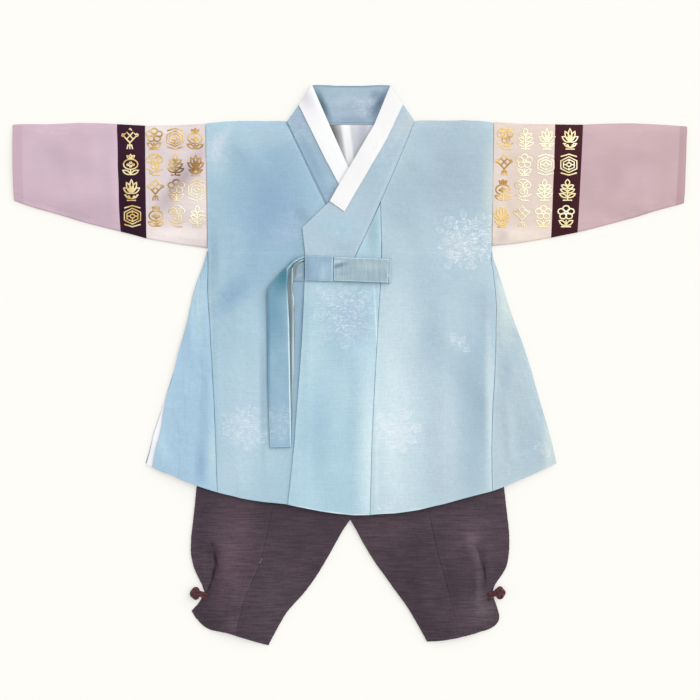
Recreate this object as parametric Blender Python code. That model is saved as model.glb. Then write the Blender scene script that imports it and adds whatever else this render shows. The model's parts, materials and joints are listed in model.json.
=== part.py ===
"""A small child's hanbok laid flat on a surface: a blue crossed jacket (jeogori) with a
tied bow, and dark trousers (baji) whose waist lies under the jacket.

Each cut piece of cloth is its own closed wall. The tables are in millimetres: x runs
across from the centre line, towards the wearer's left sleeve, and drop runs down from
the shoulder line. "Right" and "left" are the wearer's. +Y is towards the collar and
z = 0 is the surface that the clothes lie on.
"""

import math
from bisect import bisect_right
from collections import namedtuple

import bmesh
import bpy

MM = 0.001

Colour = namedtuple("Colour", "red green blue roughness")
Mark = namedtuple("Mark", "drop x")
Hem = namedtuple("Hem", "x drop")
Line = namedtuple("Line", "x0 drop0 x1 drop1")

# Cloth
WALL = 1.0  # one cut piece with its interlining
AIR = 0.5  # between pieces that lie on each other
SEAM = 0.3  # between pieces that are sewn edge to edge
COLLAR_WALL = 1.2  # the stiffened collar band
STRIP_WALL = 1.0  # the white paper-stiffened collar strip
ON_COLLAR = 0.4  # air between the collar and its strip
COLLAR_BED = 3.0  # where the front collar lies on the collar behind the neck
COLLAR_BACK_FOOT = (-58.0, 58.0)  # the lower corners of the collar behind the neck
COLLAR_BACK_SAG = 1.0  # its upper edge dips this far in the middle

# Jacket
COLLAR_TOP = -37.5  # drop of the collar's upper edge at the back of the neck
NECK_SEAM = 3.0  # drop of the back neck seam
ROLL = 8.0  # how far in from an edge the front lies down onto the back
ARMPIT = 136.0
VENT_TOP = 256.0  # the right side seam is open below this drop
HEM_START = 340.0  # below this drop the rows fan out to the curved hem
GORE_LINING_TOP = 195.0
LINING_SHORT = 6.0  # the lining stops this far above the hem
KINK_LEFT = 84.5  # drops where a front's edge turns from the collar seam to the gusset
KINK_RIGHT = 97.0

# Trousers
WAIST_TOP = 165.0
WAIST_DEPTH = 25.0
CROTCH = 419.2
TROUSER_STACK = 3.9  # how far the jacket is raised where it lies on the trousers
STACK_EDGE = 16.0  # how far in from the trousers' edge the raised area starts to fall
STACK_RAMP = 55.0
WAIST_RAMP = 90.0

# The right front and its collar lie under the left front
UNDERLAP_STACK = 1.7
UNDERLAP_MARGIN = 22.0
UNDERLAP_RAMP = 45.0
STRIP_STACK = 1.5  # and more where it lies over the right collar's strip
STRIP_END = Line(-6.0, 50.0, 8.0, 88.0)  # the covered end of the right collar's strip
STRIP_REACH = 30.0
STRIP_RAMP = 30.0

# The surface's frame: the origin is the middle of the laid set's outline
LEG_BOTTOM = 549.4  # drop of the lowest point of the legs
SHOULDER_Y = (LEG_BOTTOM + COLLAR_TOP) / 2

BLUE = Colour(0.43, 0.62, 0.73, 0.5)
WHITE = Colour(0.90, 0.90, 0.92, 0.6)
LINING = Colour(0.80, 0.81, 0.85, 0.5)
BLUSH = Colour(0.83, 0.72, 0.68, 0.5)
WINE = Colour(0.07, 0.02, 0.05, 0.5)
MAUVE = Colour(0.60, 0.43, 0.47, 0.5)
PLUM = Colour(0.085, 0.057, 0.075, 0.7)
CORD = Colour(0.09, 0.012, 0.03, 0.5)


# Cut lines of the jacket, each as x at a few drops
RIGHT_SIDE = [Mark(0, -152.1), Mark(62, -150.8), Mark(ARMPIT, -149.6), Mark(222, -146.8),
              Mark(297, -142.5), Mark(389, -139.2)]
LEFT_SIDE = [Mark(0, 150.8), Mark(70, 150.3), Mark(ARMPIT, 149.0), Mark(202, 153.0),
             Mark(254, 152.4), Mark(318, 148.7), Mark(386, 148.7)]
RIGHT_GORE = [Mark(ARMPIT, -150.6), Mark(183, -163.9), Mark(211, -170.3), Mark(254, -182.2),
              Mark(300, -194.8), Mark(362, -207.9)]
LEFT_GORE = [Mark(ARMPIT, 150.0), Mark(189, 164.1), Mark(243, 184.5), Mark(297, 200.6),
             Mark(359, 216.6)]
RIGHT_GORE_BACK = [Mark(ARMPIT, -150.6), Mark(211, -170.3), Mark(VENT_TOP, -183.0),
                   Mark(300, -196.8), Mark(359, -212.2)]
COLLAR_SEAM_LEFT = [Mark(0.6, 67.9), Mark(KINK_LEFT, 31.8), Mark(114, 18.5), Mark(138, 7.1),
                    Mark(153.8, 0.0)]
COLLAR_SEAM_RIGHT = [Mark(0.6, -66.9), Mark(KINK_RIGHT, -21.0), Mark(120, -10.0), Mark(153.8, 5.6)]
GUSSET_SEAM_LEFT = [Mark(KINK_LEFT, 31.8), Mark(144, 33.0), Mark(204, 29.7), Mark(259, 26.6),
                    Mark(323, 23.3), Mark(414, 20.8)]
GUSSET_SEAM_RIGHT = [Mark(KINK_RIGHT, -21.0), Mark(200, -20.8), Mark(414, -20.8)]
FRONT_EDGE_LEFT = [Mark(153.8, -47.5), Mark(194, -49.0), Mark(243, -51.5), Mark(291, -55.4),
                   Mark(339, -58.7), Mark(402, -65.3)]
FRONT_EDGE_RIGHT = [Mark(153.8, 47.0), Mark(402, 62.0)]
UNDERLAP_EDGE = [Mark(COLLAR_TOP, -40.0), Mark(50, -0.8), Mark(84, 14.2), Mark(111, 44.0),
                 Mark(154, 47.0), Mark(402, 62.0)]
HEM = [Hem(-213, 358.5), Hem(-208, 362), Hem(-139, 388.8), Hem(-109, 397.5), Hem(-65, 402.5),
       Hem(-28, 410), Hem(5, 414), Hem(40, 412), Hem(74, 407), Hem(117, 395.3),
       Hem(149, 385.6), Hem(217, 358.9)]

# The collar from the fold at the side of the neck down to its end: its inner edge, and
# where the row meets the seam
CollarRow = namedtuple("CollarRow", "inner_x inner_drop seam_drop rows_to_next")
COLLAR_LEFT = [
    CollarRow(42.3, COLLAR_TOP, 0.6, 3), CollarRow(25.4, 2.9, 37.9, 2),
    CollarRow(9.8, 29.9, 62.9, 1), CollarRow(-0.5, 47.5, 79.2, 1),
    CollarRow(-11.0, 64.9, 95.2, 1), CollarRow(-21.5, 84.0, 112.9, 2),
    CollarRow(-50.4, 111.4, 126.5, 2), CollarRow(-47.1, 140.3, 141.2, 1),
    CollarRow(-47.5, 153.8, 153.8, 1),
]
COLLAR_RIGHT = [
    CollarRow(-40.1, COLLAR_TOP, 0.6, 8), CollarRow(14.2, 84.0, 112.0, 2),
    CollarRow(44.0, 111.0, 127.0, 2), CollarRow(42.0, 140.0, 141.0, 1),
    CollarRow(42.0, 153.8, 153.8, 1),
]
STRIP_ROWS = 8
StripShare = namedtuple("StripShare", "top middle end")  # of the collar's width
STRIP_LEFT = StripShare(0.527, 0.456, 0.385)
STRIP_RIGHT = StripShare(0.527, 0.485, 0.385)

# Sleeves: each section is a line from the upper fold to the lower seam
Section = namedtuple("Section", "upper_x upper_drop lower_x lower_drop")
SLEEVE_CROWN = 1.7
SLEEVE_RIGHT = {
    "sleeve_blush": [Section(-152.4, 2.5, -150.2, 133.0), Section(-184.0, 3.3, -183.5, 128.2),
                     Section(-215.8, 3.8, -214.4, 122.0)],
    "sleeve_band": [Section(-216.1, 3.8, -214.7, 121.9), Section(-245.0, 3.0, -241.8, 114.9)],
    "sleeve_end": [Section(-245.3, 3.0, -242.1, 114.8), Section(-286.7, 1.6, -279.3, 105.4),
                   Section(-321.5, 2.3, -317.3, 94.0), Section(-354.5, 2.7, -352.5, 82.5)],
}
SLEEVE_LEFT = {
    "sleeve_blush": [Section(151.2, 1.4, 149.2, 130.6), Section(184.0, 1.9, 180.4, 126.0),
                     Section(215.7, 2.3, 211.4, 121.3)],
    "sleeve_band": [Section(216.0, 2.3, 211.7, 121.2), Section(245.2, 2.9, 239.4, 115.7)],
    "sleeve_end": [Section(245.5, 2.9, 239.7, 115.6), Section(298.3, 2.3, 298.3, 101.0),
                   Section(354.5, 4.9, 351.1, 85.5)],
}

# Trouser legs: each row runs from the outer fold over the seam to the inner edge. Crown is
# how far the front stands off the back in the middle of the leg.
Leg = namedtuple("Leg", "outer_x outer_drop seam_x seam_drop inner_x inner_drop crown")
LEG_LEFT = [
    Leg(125.0, 190.5, 57.0, 190.5, 0.0, 190.5, 0.9),
    Leg(141.0, 250.0, 61.0, 250.0, 0.0, 250.0, 1.2),
    Leg(154.0, 310.0, 67.0, 310.0, 0.0, 310.0, 1.2),
    Leg(160.0, 365.0, 75.0, 368.0, 0.0, 368.0, 1.2),
    Leg(163.6, 402.0, 81.7, 406.0, 0.0, 408.0, 1.2),
    Leg(165.4, 420.0, 84.6, 421.0, 0.0, CROTCH, 1.6),
    Leg(166.7, 442.0, 88.5, 441.0, 13.6, 442.3, 2.4),
    Leg(164.9, 461.4, 94.0, 462.0, 29.4, 466.4, 2.8),
    Leg(159.8, 475.3, 98.5, 476.0, 37.0, 477.0, 3.0),
    Leg(152.1, 486.2, 101.8, 486.5, 44.6, 488.0, 3.0),
    Leg(147.4, 496.0, 105.4, 497.0, 52.3, 499.0, 2.6),
    Leg(152.1, 507.1, 108.2, 508.0, 58.4, 508.5, 2.6),
    Leg(155.3, 515.0, 110.3, 518.0, 64.6, 518.5, 2.8),
    Leg(154.7, 525.0, 111.8, 530.0, 72.8, 532.0, 2.8),
    Leg(148.0, 531.5, 112.9, 541.6, 80.2, 545.6, 2.6),
]
LEG_RIGHT = [
    Leg(-125.0, 190.5, -57.0, 190.5, 0.0, 190.5, 0.9),
    Leg(-141.0, 250.0, -61.0, 250.0, 0.0, 250.0, 1.2),
    Leg(-154.0, 310.0, -67.0, 310.0, 0.0, 310.0, 1.2),
    Leg(-160.6, 365.0, -75.0, 368.0, 0.0, 368.0, 1.2),
    Leg(-163.8, 402.0, -81.1, 405.0, 0.0, 408.0, 1.2),
    Leg(-166.0, 421.0, -84.2, 421.5, 0.0, CROTCH, 1.6),
    Leg(-168.9, 447.0, -89.3, 446.0, -17.0, 445.0, 2.6),
    Leg(-167.3, 462.0, -93.6, 462.0, -28.5, 464.0, 2.8),
    Leg(-163.0, 475.0, -100.3, 475.0, -37.5, 479.0, 3.0),
    Leg(-157.3, 484.5, -104.5, 485.0, -44.0, 488.5, 3.0),
    Leg(-153.6, 494.0, -108.8, 495.5, -51.0, 497.8, 2.6),
    Leg(-158.8, 505.6, -112.9, 507.0, -59.5, 507.5, 2.6),
    Leg(-167.0, 514.5, -115.9, 517.0, -67.5, 516.8, 2.8),
    Leg(-162.0, 522.5, -118.2, 528.0, -75.5, 529.5, 2.8),
    Leg(-152.0, 531.3, -119.8, 540.0, -85.3, LEG_BOTTOM, 2.6),
]
SIDE_PANEL_COLUMNS = [0, 0.2, 0.42, 0.7, 1]  # from near the fold to the seam
LEG_EDGE_RAMP = 26.0  # the front rises to its crown this far in from a folded edge

# Soft folds: a ridge along a line, this high and this far to each side
Fold = namedtuple("Fold", "x0 drop0 x1 drop1 width height")
LEG_FOLDS = [
    Fold(122, 440, 133, 455, 11, 1.0), Fold(133, 455, 136, 484, 9, 1.3),
    Fold(128, 512, 124, 534, 10, 0.9), Fold(146, 512, 141, 530, 6, 1.0),
    Fold(-133, 442, -132, 458, 10, 1.0), Fold(-132, 458, -142, 486, 9, 1.3),
    Fold(-134, 512, -132, 534, 10, 0.9), Fold(-155, 511, -149, 526, 6, 1.0),
]
JACKET_FOLDS = [
    Fold(-138, 150, -104, 226, 20, 1.6), Fold(-122, 268, -128, 378, 20, 1.5),
    Fold(-174, 290, -182, 356, 15, 1.4), Fold(74, 190, 66, 330, 24, 1.6),
    Fold(112, 150, 122, 268, 22, 1.4), Fold(98, 300, 104, 384, 22, 1.3),
    Fold(176, 262, 188, 352, 15, 1.4), Fold(-114, 40, -120, 112, 22, 1.2),
    Fold(112, 36, 104, 106, 24, 1.2),
]

# The tie: a flat knot and one loop on the left front, and two tails on the right front
TIE_WIDTH = 26.5
TIE_TILT = 3.0 / 86.0  # the knot and loop run down to the wearer's left by this slope
TIE_TOP = 140.8
KNOT_START, KNOT_END = -47.3, -17.4
LOOP_END = 42.6
LOOP_WALL = 1.0
LOOP_PUFF = 1.0
KNOT_WALL = 1.9
Tail = namedtuple("Tail", "outer_x outer_drop inner_x inner_drop")
TAIL_FRONT = [
    Tail(-48.0, 141.2, -48.0, 143.2), Tail(-54.0, 142.4, -53.6, 145.6),
    Tail(-60.0, 145.6, -60.2, 150.4), Tail(-70.0, 156.0, -65.0, 157.6),
    Tail(-80.0, 167.6, -65.7, 170.0), Tail(-86.8, 178.5, -65.2, 184.0),
    Tail(-87.0, 215.0, -63.4, 215.0), Tail(-86.4, 265.0, -62.6, 265.0),
    Tail(-85.2, 310.0, -62.0, 310.0), Tail(-83.8, 342.0, -61.8, 341.6),
]
TAIL_BACK = [
    Tail(-48.0, 144.0, -48.0, 146.0), Tail(-55.0, 147.2, -53.8, 149.6),
    Tail(-61.0, 154.0, -58.6, 155.8), Tail(-66.0, 166.0, -60.4, 167.4),
    Tail(-76.0, 186.0, -60.2, 187.0), Tail(-78.0, 215.0, -58.4, 215.0),
    Tail(-78.0, 265.0, -59.4, 265.0), Tail(-78.0, 310.0, -60.6, 310.0),
    Tail(-77.0, 337.0, -61.4, 337.0),
]
STUB_END = -60.5

# Ankle buttons
KNOT_BALL = 5.0  # radius of the knotted button
KNOT_LOBES = 5
KNOT_LOBE = 0.13  # how far the lobes stand out, as a share of the radius
KNOT_LONG = 1.2  # the ball's length and height, as shares of its width
KNOT_FLAT = 0.8
LOOP_CORD = 1.3  # radius of the cord loop
LOOP_HEIGHT = 4.2
Button = namedtuple("Button", "name x drop leg_x upper_drop lower_drop side")
BUTTONS = [Button("left", 158.4, 495.0, 146.6, 491.2, 502.0, 1),
           Button("right", -163.6, 497.0, -153.0, 490.0, 501.0, -1)]

LEVELS = [0, ROLL, 36, 62, KINK_LEFT, KINK_RIGHT, 116, ARMPIT, WAIST_TOP, 195, 228, 262, 300,
          HEM_START, 370, 400]


def smooth(share):
    """0 to 1 with a level start and end."""
    share = min(max(share, 0.0), 1.0)
    return share * share * (3 - 2 * share)


def mix(a, b, share):
    return a + (b - a) * share


def through(marks, key, value, at):
    """The smooth curve through a table's marks, read at one place."""
    keys = [getattr(mark, key) for mark in marks]
    values = [getattr(mark, value) for mark in marks]
    last = len(keys) - 1
    if last == 0:
        return values[0]
    i = min(max(bisect_right(keys, at) - 1, 0), last - 1)
    slopes = [(values[k + 1] - values[k]) / (keys[k + 1] - keys[k]) for k in range(last)]
    start = (slopes[max(i - 1, 0)] + slopes[i]) / 2
    end = (slopes[i] + slopes[min(i + 1, last - 1)]) / 2
    length = keys[i + 1] - keys[i]
    t = (at - keys[i]) / length
    if t < 0 or t > 1:
        return values[i if t < 0 else i + 1] + slopes[i] * length * (t if t < 0 else t - 1)
    return ((2 * t**3 - 3 * t**2 + 1) * values[i] + (t**3 - 2 * t**2 + t) * length * start
            + (3 * t**2 - 2 * t**3) * values[i + 1] + (t**3 - t**2) * length * end)


def edge_x(marks, drop):
    return through(marks, "drop", "x", drop)


def hem_drop(x):
    return through(HEM, "x", "drop", x)


def shoulder_drop(x):
    """The shoulder falls a little towards the sleeve."""
    return 2.6 * smooth((abs(x) - 122) / 28)


def back_top(x):
    """The back's upper edge: the neck seam, then the shoulder."""
    return max(shoulder_drop(x), NECK_SEAM * smooth((70 - abs(x)) / 12))


def trouser_half_width(drop):
    rows = [Mark(row.outer_drop, row.outer_x) for row in LEG_LEFT[:6]]
    return edge_x(rows, max(drop, rows[0].drop))


def trouser_lift(x, drop):
    """How far the jacket is raised by the trousers under it."""
    waist = smooth((drop - WAIST_TOP + WAIST_RAMP) / WAIST_RAMP)
    side = smooth((trouser_half_width(drop) - STACK_EDGE + STACK_RAMP - abs(x)) / STACK_RAMP)
    return TROUSER_STACK * waist * side


def distance(line, x, drop):
    """How far a point lies from the stretch of a line between its ends."""
    run_x, run_drop = line.x1 - line.x0, line.drop1 - line.drop0
    share = ((x - line.x0) * run_x + (drop - line.drop0) * run_drop) / (run_x**2 + run_drop**2)
    share = min(max(share, 0.0), 1.0)
    return math.hypot(x - line.x0 - share * run_x, drop - line.drop0 - share * run_drop)


def folds(table, x, drop):
    """How far the highest of a table's soft folds raises the cloth at a point."""
    heights = [fold.height * smooth(1 - distance(fold, x, drop) / fold.width) for fold in table]
    return max([0.0] + heights)


def back_bed(x, drop):
    return trouser_lift(x, drop)


def lining_bed(x, drop):
    return back_bed(x, drop) + WALL + AIR


def right_bed(x, drop):
    """The underside of the right front. At the shoulder it lies down onto the back."""
    settled = smooth((drop - shoulder_drop(x)) / ROLL)
    return back_bed(x, drop) + WALL + SEAM + (WALL + 2 * AIR - SEAM) * settled


def left_bed(x, drop):
    """The underside of the left front, which lies over the right front and its collar."""
    reach = edge_x(UNDERLAP_EDGE, drop) + UNDERLAP_MARGIN
    over = smooth((reach + UNDERLAP_RAMP - x) / UNDERLAP_RAMP)
    on_strip = smooth((STRIP_REACH + STRIP_RAMP - distance(STRIP_END, x, drop)) / STRIP_RAMP)
    return right_bed(x, drop) + (UNDERLAP_STACK + STRIP_STACK * on_strip) * over


def place(x, drop, z):
    return (x * MM, (SHOULDER_Y - drop) * MM, z * MM)


def material(name, colour):
    made = bpy.data.materials.get(name) or bpy.data.materials.new(name)
    made.use_nodes = True
    shader = made.node_tree.nodes["Principled BSDF"]
    shader.inputs["Base Color"].default_value = (colour.red, colour.green, colour.blue, 1)
    shader.inputs["Roughness"].default_value = colour.roughness
    return made


def add_object(name, mesh, cloth, colour):
    """Closes off a bmesh as a named object with its own material."""
    bmesh.ops.recalc_face_normals(mesh, faces=mesh.faces)
    data = bpy.data.meshes.new(name)
    mesh.to_mesh(data)
    mesh.free()
    data.materials.append(material(cloth, colour))
    made = bpy.data.objects.new(name, data)
    bpy.context.scene.collection.objects.link(made)
    return made


def wall(name, outer, inner, cloth, colour, around=False):
    """A wall between two matching grids of points, open or closed around its columns."""
    mesh = bmesh.new()
    top = [[mesh.verts.new(point) for point in row] for row in outer]
    under = [[mesh.verts.new(point) for point in row] for row in inner]
    rows, columns = len(top), len(top[0])
    for c in range(columns if around else columns - 1):
        n = (c + 1) % columns
        for r in range(rows - 1):
            mesh.faces.new((top[r][c], top[r][n], top[r + 1][n], top[r + 1][c]))
            mesh.faces.new((under[r][c], under[r + 1][c], under[r + 1][n], under[r][n]))
        for r in (0, rows - 1):
            mesh.faces.new((top[r][c], top[r][n], under[r][n], under[r][c]))
    for r in range(0 if around else rows - 1):
        for c in (0, columns - 1):
            mesh.faces.new((top[r][c], top[r + 1][c], under[r + 1][c], under[r][c]))
    return add_object(name, mesh, cloth, colour)


def laid(name, grid, bed, thickness, cloth, colour):
    """A flat-cut piece: its (x, drop) grid on the bed below it."""
    under = [[place(x, drop, bed(x, drop)) for x, drop in row] for row in grid]
    top = [[place(x, drop, bed(x, drop) + thickness) for x, drop in row] for row in grid]
    return wall(name, top, under, cloth, colour)


def row_drop(level, x, top, hem):
    """A row's drop at x: the first row follows the top edge and the last rows the hem."""
    if level == 0:
        return top(x)
    if level <= HEM_START:
        return level
    return mix(HEM_START, hem(x), (level - HEM_START) / (LEVELS[-1] - HEM_START))


def edge_point(marks, level, inset, top, hem):
    """Where a row meets a cut line, moved in by half the seam's gap."""
    drop = level
    for _ in range(3):
        x = edge_x(marks, drop) + inset
        drop = row_drop(level, x, top, hem)
    return x


def body_grid(low, high, levels, shares, top=shoulder_drop):
    """A body panel's rows, from the cut line with the lower x to the one with the higher x."""
    grid = []
    for level in levels:
        left = edge_point(low(level), level, SEAM / 2, top, hem_drop)
        right = edge_point(high(level), level, -SEAM / 2, top, hem_drop)
        spread = shares(right - left) if callable(shares) else shares
        row = [mix(left, right, share) for share in spread]
        grid.append([(x, row_drop(level, x, top, hem_drop)) for x in row])
    return grid


def evenly(count):
    return [i / count for i in range(count + 1)]


def left_gore_shares(width):
    """A gore's columns: its outer edge has a narrow column of its own, which rolls down."""
    rim = min(ROLL / width, 0.3)
    return [(1 - rim) * share for share in evenly(3)] + [1]


def right_gore_shares(width):
    return [1 - share for share in reversed(left_gore_shares(width))]


def always(marks):
    """The same cut line at every level."""
    return lambda level: marks


def front_edge(collar, gusset):
    """The front's inner cut line: the collar seam, then the gusset seam."""
    return lambda level: collar if level <= gusset[0].drop else gusset


def levels_from(start):
    return [level for level in LEVELS if level >= start]


def build_back():
    centre = always([Mark(0, 0)])
    right = body_grid(always(RIGHT_SIDE), centre, LEVELS, evenly(5), top=back_top)
    left = body_grid(centre, always(LEFT_SIDE), LEVELS, evenly(5), top=back_top)
    gore_levels = levels_from(ARMPIT)
    gore_right = body_grid(always(RIGHT_GORE_BACK), always(RIGHT_SIDE), gore_levels, right_gore_shares)
    gore_left = body_grid(always(LEFT_SIDE), always(LEFT_GORE), gore_levels, left_gore_shares)
    for name, grid in (("back_right", right), ("back_left", left),
                       ("back_gore_right", gore_right), ("back_gore_left", gore_left)):
        laid(name, grid, back_bed, WALL, "blue_silk", BLUE)


def lining_row(level, low, high, insets, shares):
    """One row of lining, set in from the back's cut lines and stopping short of its hem."""
    short = lambda x: hem_drop(x) - LINING_SHORT
    drop = max(level, ROLL + 3.0)
    left = edge_point(low, drop, insets[0], back_top, short)
    right = edge_point(high, drop, -insets[1], back_top, short)
    spread = shares(right - left) if callable(shares) else shares
    row = [mix(left, right, share) for share in spread]
    if level == 0:
        return [(x, mix(NECK_SEAM + SEAM, ROLL + 3.0, smooth((abs(x) - 44) / 14))) for x in row]
    if level == ROLL:
        return [(x, drop + 4.0) for x in row]
    return [(x, row_drop(drop, x, back_top, short)) for x in row]


def build_lining():
    """The lining where it can be seen: inside the neck and along the open right side."""
    clear = ROLL + 4.0
    rows = []
    for level in LEVELS:
        inset = clear if level < ARMPIT else SEAM / 2
        rows.append(lining_row(level, RIGHT_SIDE, LEFT_SIDE, (inset, inset), evenly(10)))
    laid("back_lining", rows, lining_bed, WALL, "lining", LINING)
    rows = []
    for level in levels_from(GORE_LINING_TOP):
        inset = mix(clear, 0.4, smooth((level - VENT_TOP + 20) / 30))
        rows.append(lining_row(level, RIGHT_GORE_BACK, RIGHT_SIDE, (inset, SEAM / 2), right_gore_shares))
    laid("gore_lining_right", rows, lining_bed, WALL, "lining", LINING)


def rolled(bed, outer_side, sewn):
    """A bed that lies down onto the back gore along the gore's outer edge, where it is sewn."""
    def lowered(x, drop):
        away = smooth(abs(x - edge_x(outer_side, drop)) / (ROLL * 0.8))
        return bed(x, drop) - (WALL + 2 * AIR - SEAM) * sewn(drop) * (1 - away)
    return lowered


def with_folds(bed, table):
    return lambda x, drop: bed(x, drop) + folds(table, x, drop)


def build_fronts():
    right_edge = front_edge(COLLAR_SEAM_RIGHT, GUSSET_SEAM_RIGHT)
    left_edge = front_edge(COLLAR_SEAM_LEFT, GUSSET_SEAM_LEFT)
    right = body_grid(always(RIGHT_SIDE), right_edge, LEVELS, evenly(5))
    left = body_grid(left_edge, always(LEFT_SIDE), LEVELS, evenly(5))
    gore_levels = levels_from(ARMPIT)
    gore_right = body_grid(always(RIGHT_GORE), always(RIGHT_SIDE), gore_levels, right_gore_shares)
    gore_left = body_grid(always(LEFT_SIDE), always(LEFT_GORE), gore_levels, left_gore_shares)
    above_vent = lambda drop: 1 - smooth((drop - VENT_TOP + 60) / 60)
    for name, grid, bed in (
        ("front_right", right, right_bed),
        ("front_left", left, left_bed),
        ("front_gore_right", gore_right, rolled(right_bed, RIGHT_GORE, above_vent)),
        ("front_gore_left", gore_left, rolled(right_bed, LEFT_GORE, lambda drop: 1.0)),
    ):
        laid(name, grid, with_folds(bed, JACKET_FOLDS), WALL, "blue_silk", BLUE)


def gusset_grid(edge, collar_seam, gusset_seam, side):
    """The front gusset, each row from the front's edge to the gusset seam. Its first row
    follows the collar's end and then the collar seam."""
    end, kink, half = collar_seam[-1], gusset_seam[0].drop, side * SEAM / 2
    start = edge_x(edge, end.drop)
    top = [(start + side * 0.1, end.drop + SEAM), (mix(start, end.x, 0.55), end.drop + SEAM)]
    for share in (0, 0.36, 0.7):
        drop = mix(end.drop, kink, share) + (0 if share else SEAM)
        top.append((edge_x(collar_seam, drop) + half, drop + 0.2))
    top.append((edge_x(gusset_seam, kink + 1.6) - half, kink + 1.6))
    lower = []
    for level in levels_from(WAIST_TOP + 1):
        ends = [edge_point(edge, level, half, shoulder_drop, hem_drop),
                edge_point(gusset_seam, level, -half, shoulder_drop, hem_drop)]
        row = [mix(*ends, share) for share in evenly(5)]
        lower.append([(x, row_drop(level, x, shoulder_drop, hem_drop)) for x in row])
    between = []
    for share in (0.34, 0.67):
        row = [(mix(a[0], b[0], share), mix(a[1], b[1], share)) for a, b in zip(top, lower[0])]
        row[0] = (edge_x(edge, row[0][1]) + half, row[0][1])
        row[-1] = (edge_x(gusset_seam, row[-1][1]) - half, row[-1][1])
        between.append(row)
    return [top] + between + lower


def build_gussets():
    grid = gusset_grid(FRONT_EDGE_LEFT, COLLAR_SEAM_LEFT, GUSSET_SEAM_LEFT, 1)
    laid("gusset_left", grid, left_bed, WALL, "blue_silk", BLUE)
    grid = gusset_grid(FRONT_EDGE_RIGHT, COLLAR_SEAM_RIGHT, GUSSET_SEAM_RIGHT, -1)
    laid("gusset_right", grid, right_bed, WALL, "blue_silk", BLUE)


def collar_grid(table, seam, side, shares):
    """The collar band's rows, each from its inner edge to its seam."""
    grid = []
    for first, last in zip(table, table[1:]):
        for i in range(first.rows_to_next + (last is table[-1])):
            t = i / first.rows_to_next
            seam_drop = mix(first.seam_drop, last.seam_drop, t)
            inner = (mix(first.inner_x, last.inner_x, t), mix(first.inner_drop, last.inner_drop, t))
            outer = (edge_x(seam, seam_drop) - side * SEAM / 2, seam_drop)
            grid.append([(mix(inner[0], outer[0], share), mix(inner[1], outer[1], share))
                         for share in shares])
    return grid


def strip_grid(table, seam, side, width):
    """The white strip along the collar's inner edge, made from the collar's points."""
    rows = collar_grid(table, seam, side, [0, 1])[: STRIP_ROWS + 1]
    grid = []
    for i, (inner, outer) in enumerate(rows):
        t = 2 * i / STRIP_ROWS
        share = mix(width.top, width.middle, t) if t < 1 else mix(width.middle, width.end, t - 1)
        grid.append([(mix(inner[0], outer[0], share * s), mix(inner[1], outer[1], share * s))
                     for s in evenly(2)])
    return grid


def above_neck(bed):
    """A collar's bed: beside the shoulder it also clears the collar behind the neck."""
    return lambda x, drop: max(bed(x, drop), COLLAR_BED + bed(x, ROLL) - right_bed(x, ROLL))


def build_collar():
    for side, table, seam, across, front_bed, width in (
        ("right", COLLAR_RIGHT, COLLAR_SEAM_RIGHT, -1, right_bed, STRIP_RIGHT),
        ("left", COLLAR_LEFT, COLLAR_SEAM_LEFT, 1, left_bed, STRIP_LEFT),
    ):
        bed = above_neck(front_bed)
        grid = collar_grid(table, seam, across, evenly(3))
        laid(f"collar_{side}", grid, bed, COLLAR_WALL, "blue_silk", BLUE)
        on_collar = lambda x, drop, bed=bed: bed(x, drop) + COLLAR_WALL + ON_COLLAR
        grid = strip_grid(table, seam, across, width)
        laid(f"collar_strip_{side}", grid, on_collar, STRIP_WALL, "white_strip", WHITE)
    build_collar_back()


def build_collar_back():
    """The collar behind the neck, seen from its inner side, with the strip under it."""
    upper = (COLLAR_RIGHT[0].inner_x + 1.0, COLLAR_LEFT[0].inner_x - 1.0)

    def row(share, columns=6):
        left, right = (mix(a, b, share) for a, b in zip(upper, COLLAR_BACK_FOOT))
        drop = mix(COLLAR_TOP, NECK_SEAM, share)
        sag = COLLAR_BACK_SAG * (1 - share)
        return [(mix(left, right, t), drop + sag * math.sin(math.pi * t)) for t in evenly(columns)]

    on_strip = lambda x, drop: STRIP_WALL + ON_COLLAR
    laid("collar_back", [row(share) for share in evenly(3)], on_strip, COLLAR_WALL, "blue_silk", BLUE)
    strip = [row(share / 2) for share in evenly(2)]
    laid("collar_strip_back", strip, lambda x, drop: 0.0, STRIP_WALL, "white_strip", WHITE)


def fold(thickness):
    """Takes a doubled cloth round its fold: (across, z) of the outer and the inner skin."""
    middle = thickness + SEAM / 2
    deep = thickness + 1.0
    return [((1.0, 2 * thickness + SEAM), (deep, thickness + SEAM)),
            ((0.0, middle), (deep - 0.4, middle)),
            ((1.0, 0.0), (deep, thickness))]


def doubled(cells, hollow, thickness):
    """A cloth folded on itself: over the top to the fold at 0, then back along the floor."""
    upper = [((a, 2 * thickness + hollow(a)), (a, thickness + hollow(a))) for a in reversed(cells)]
    lower = [((a, 0.0), (a, thickness)) for a in cells]
    return upper + fold(thickness) + lower


def flattened(width, cells, hollow, thickness):
    """A tube pressed flat, folded at 0 and at its width."""
    far = [((width - a, z), (width - b, y)) for (a, z), (b, y) in reversed(fold(thickness))]
    return doubled(cells, hollow, thickness) + far


def along(start, end, across):
    """The point this far from the start of a section towards its end."""
    share = across / math.dist(start, end)
    return mix(start[0], end[0], share), mix(start[1], end[1], share)


def skins(start, end, path):
    """A section's outer and inner skin, its path standing on the line from start to end."""
    outer = [place(*along(start, end, a), z) for (a, z), _ in path]
    inner = [place(*along(start, end, b), y) for _, (b, y) in path]
    return outer, inner


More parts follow.
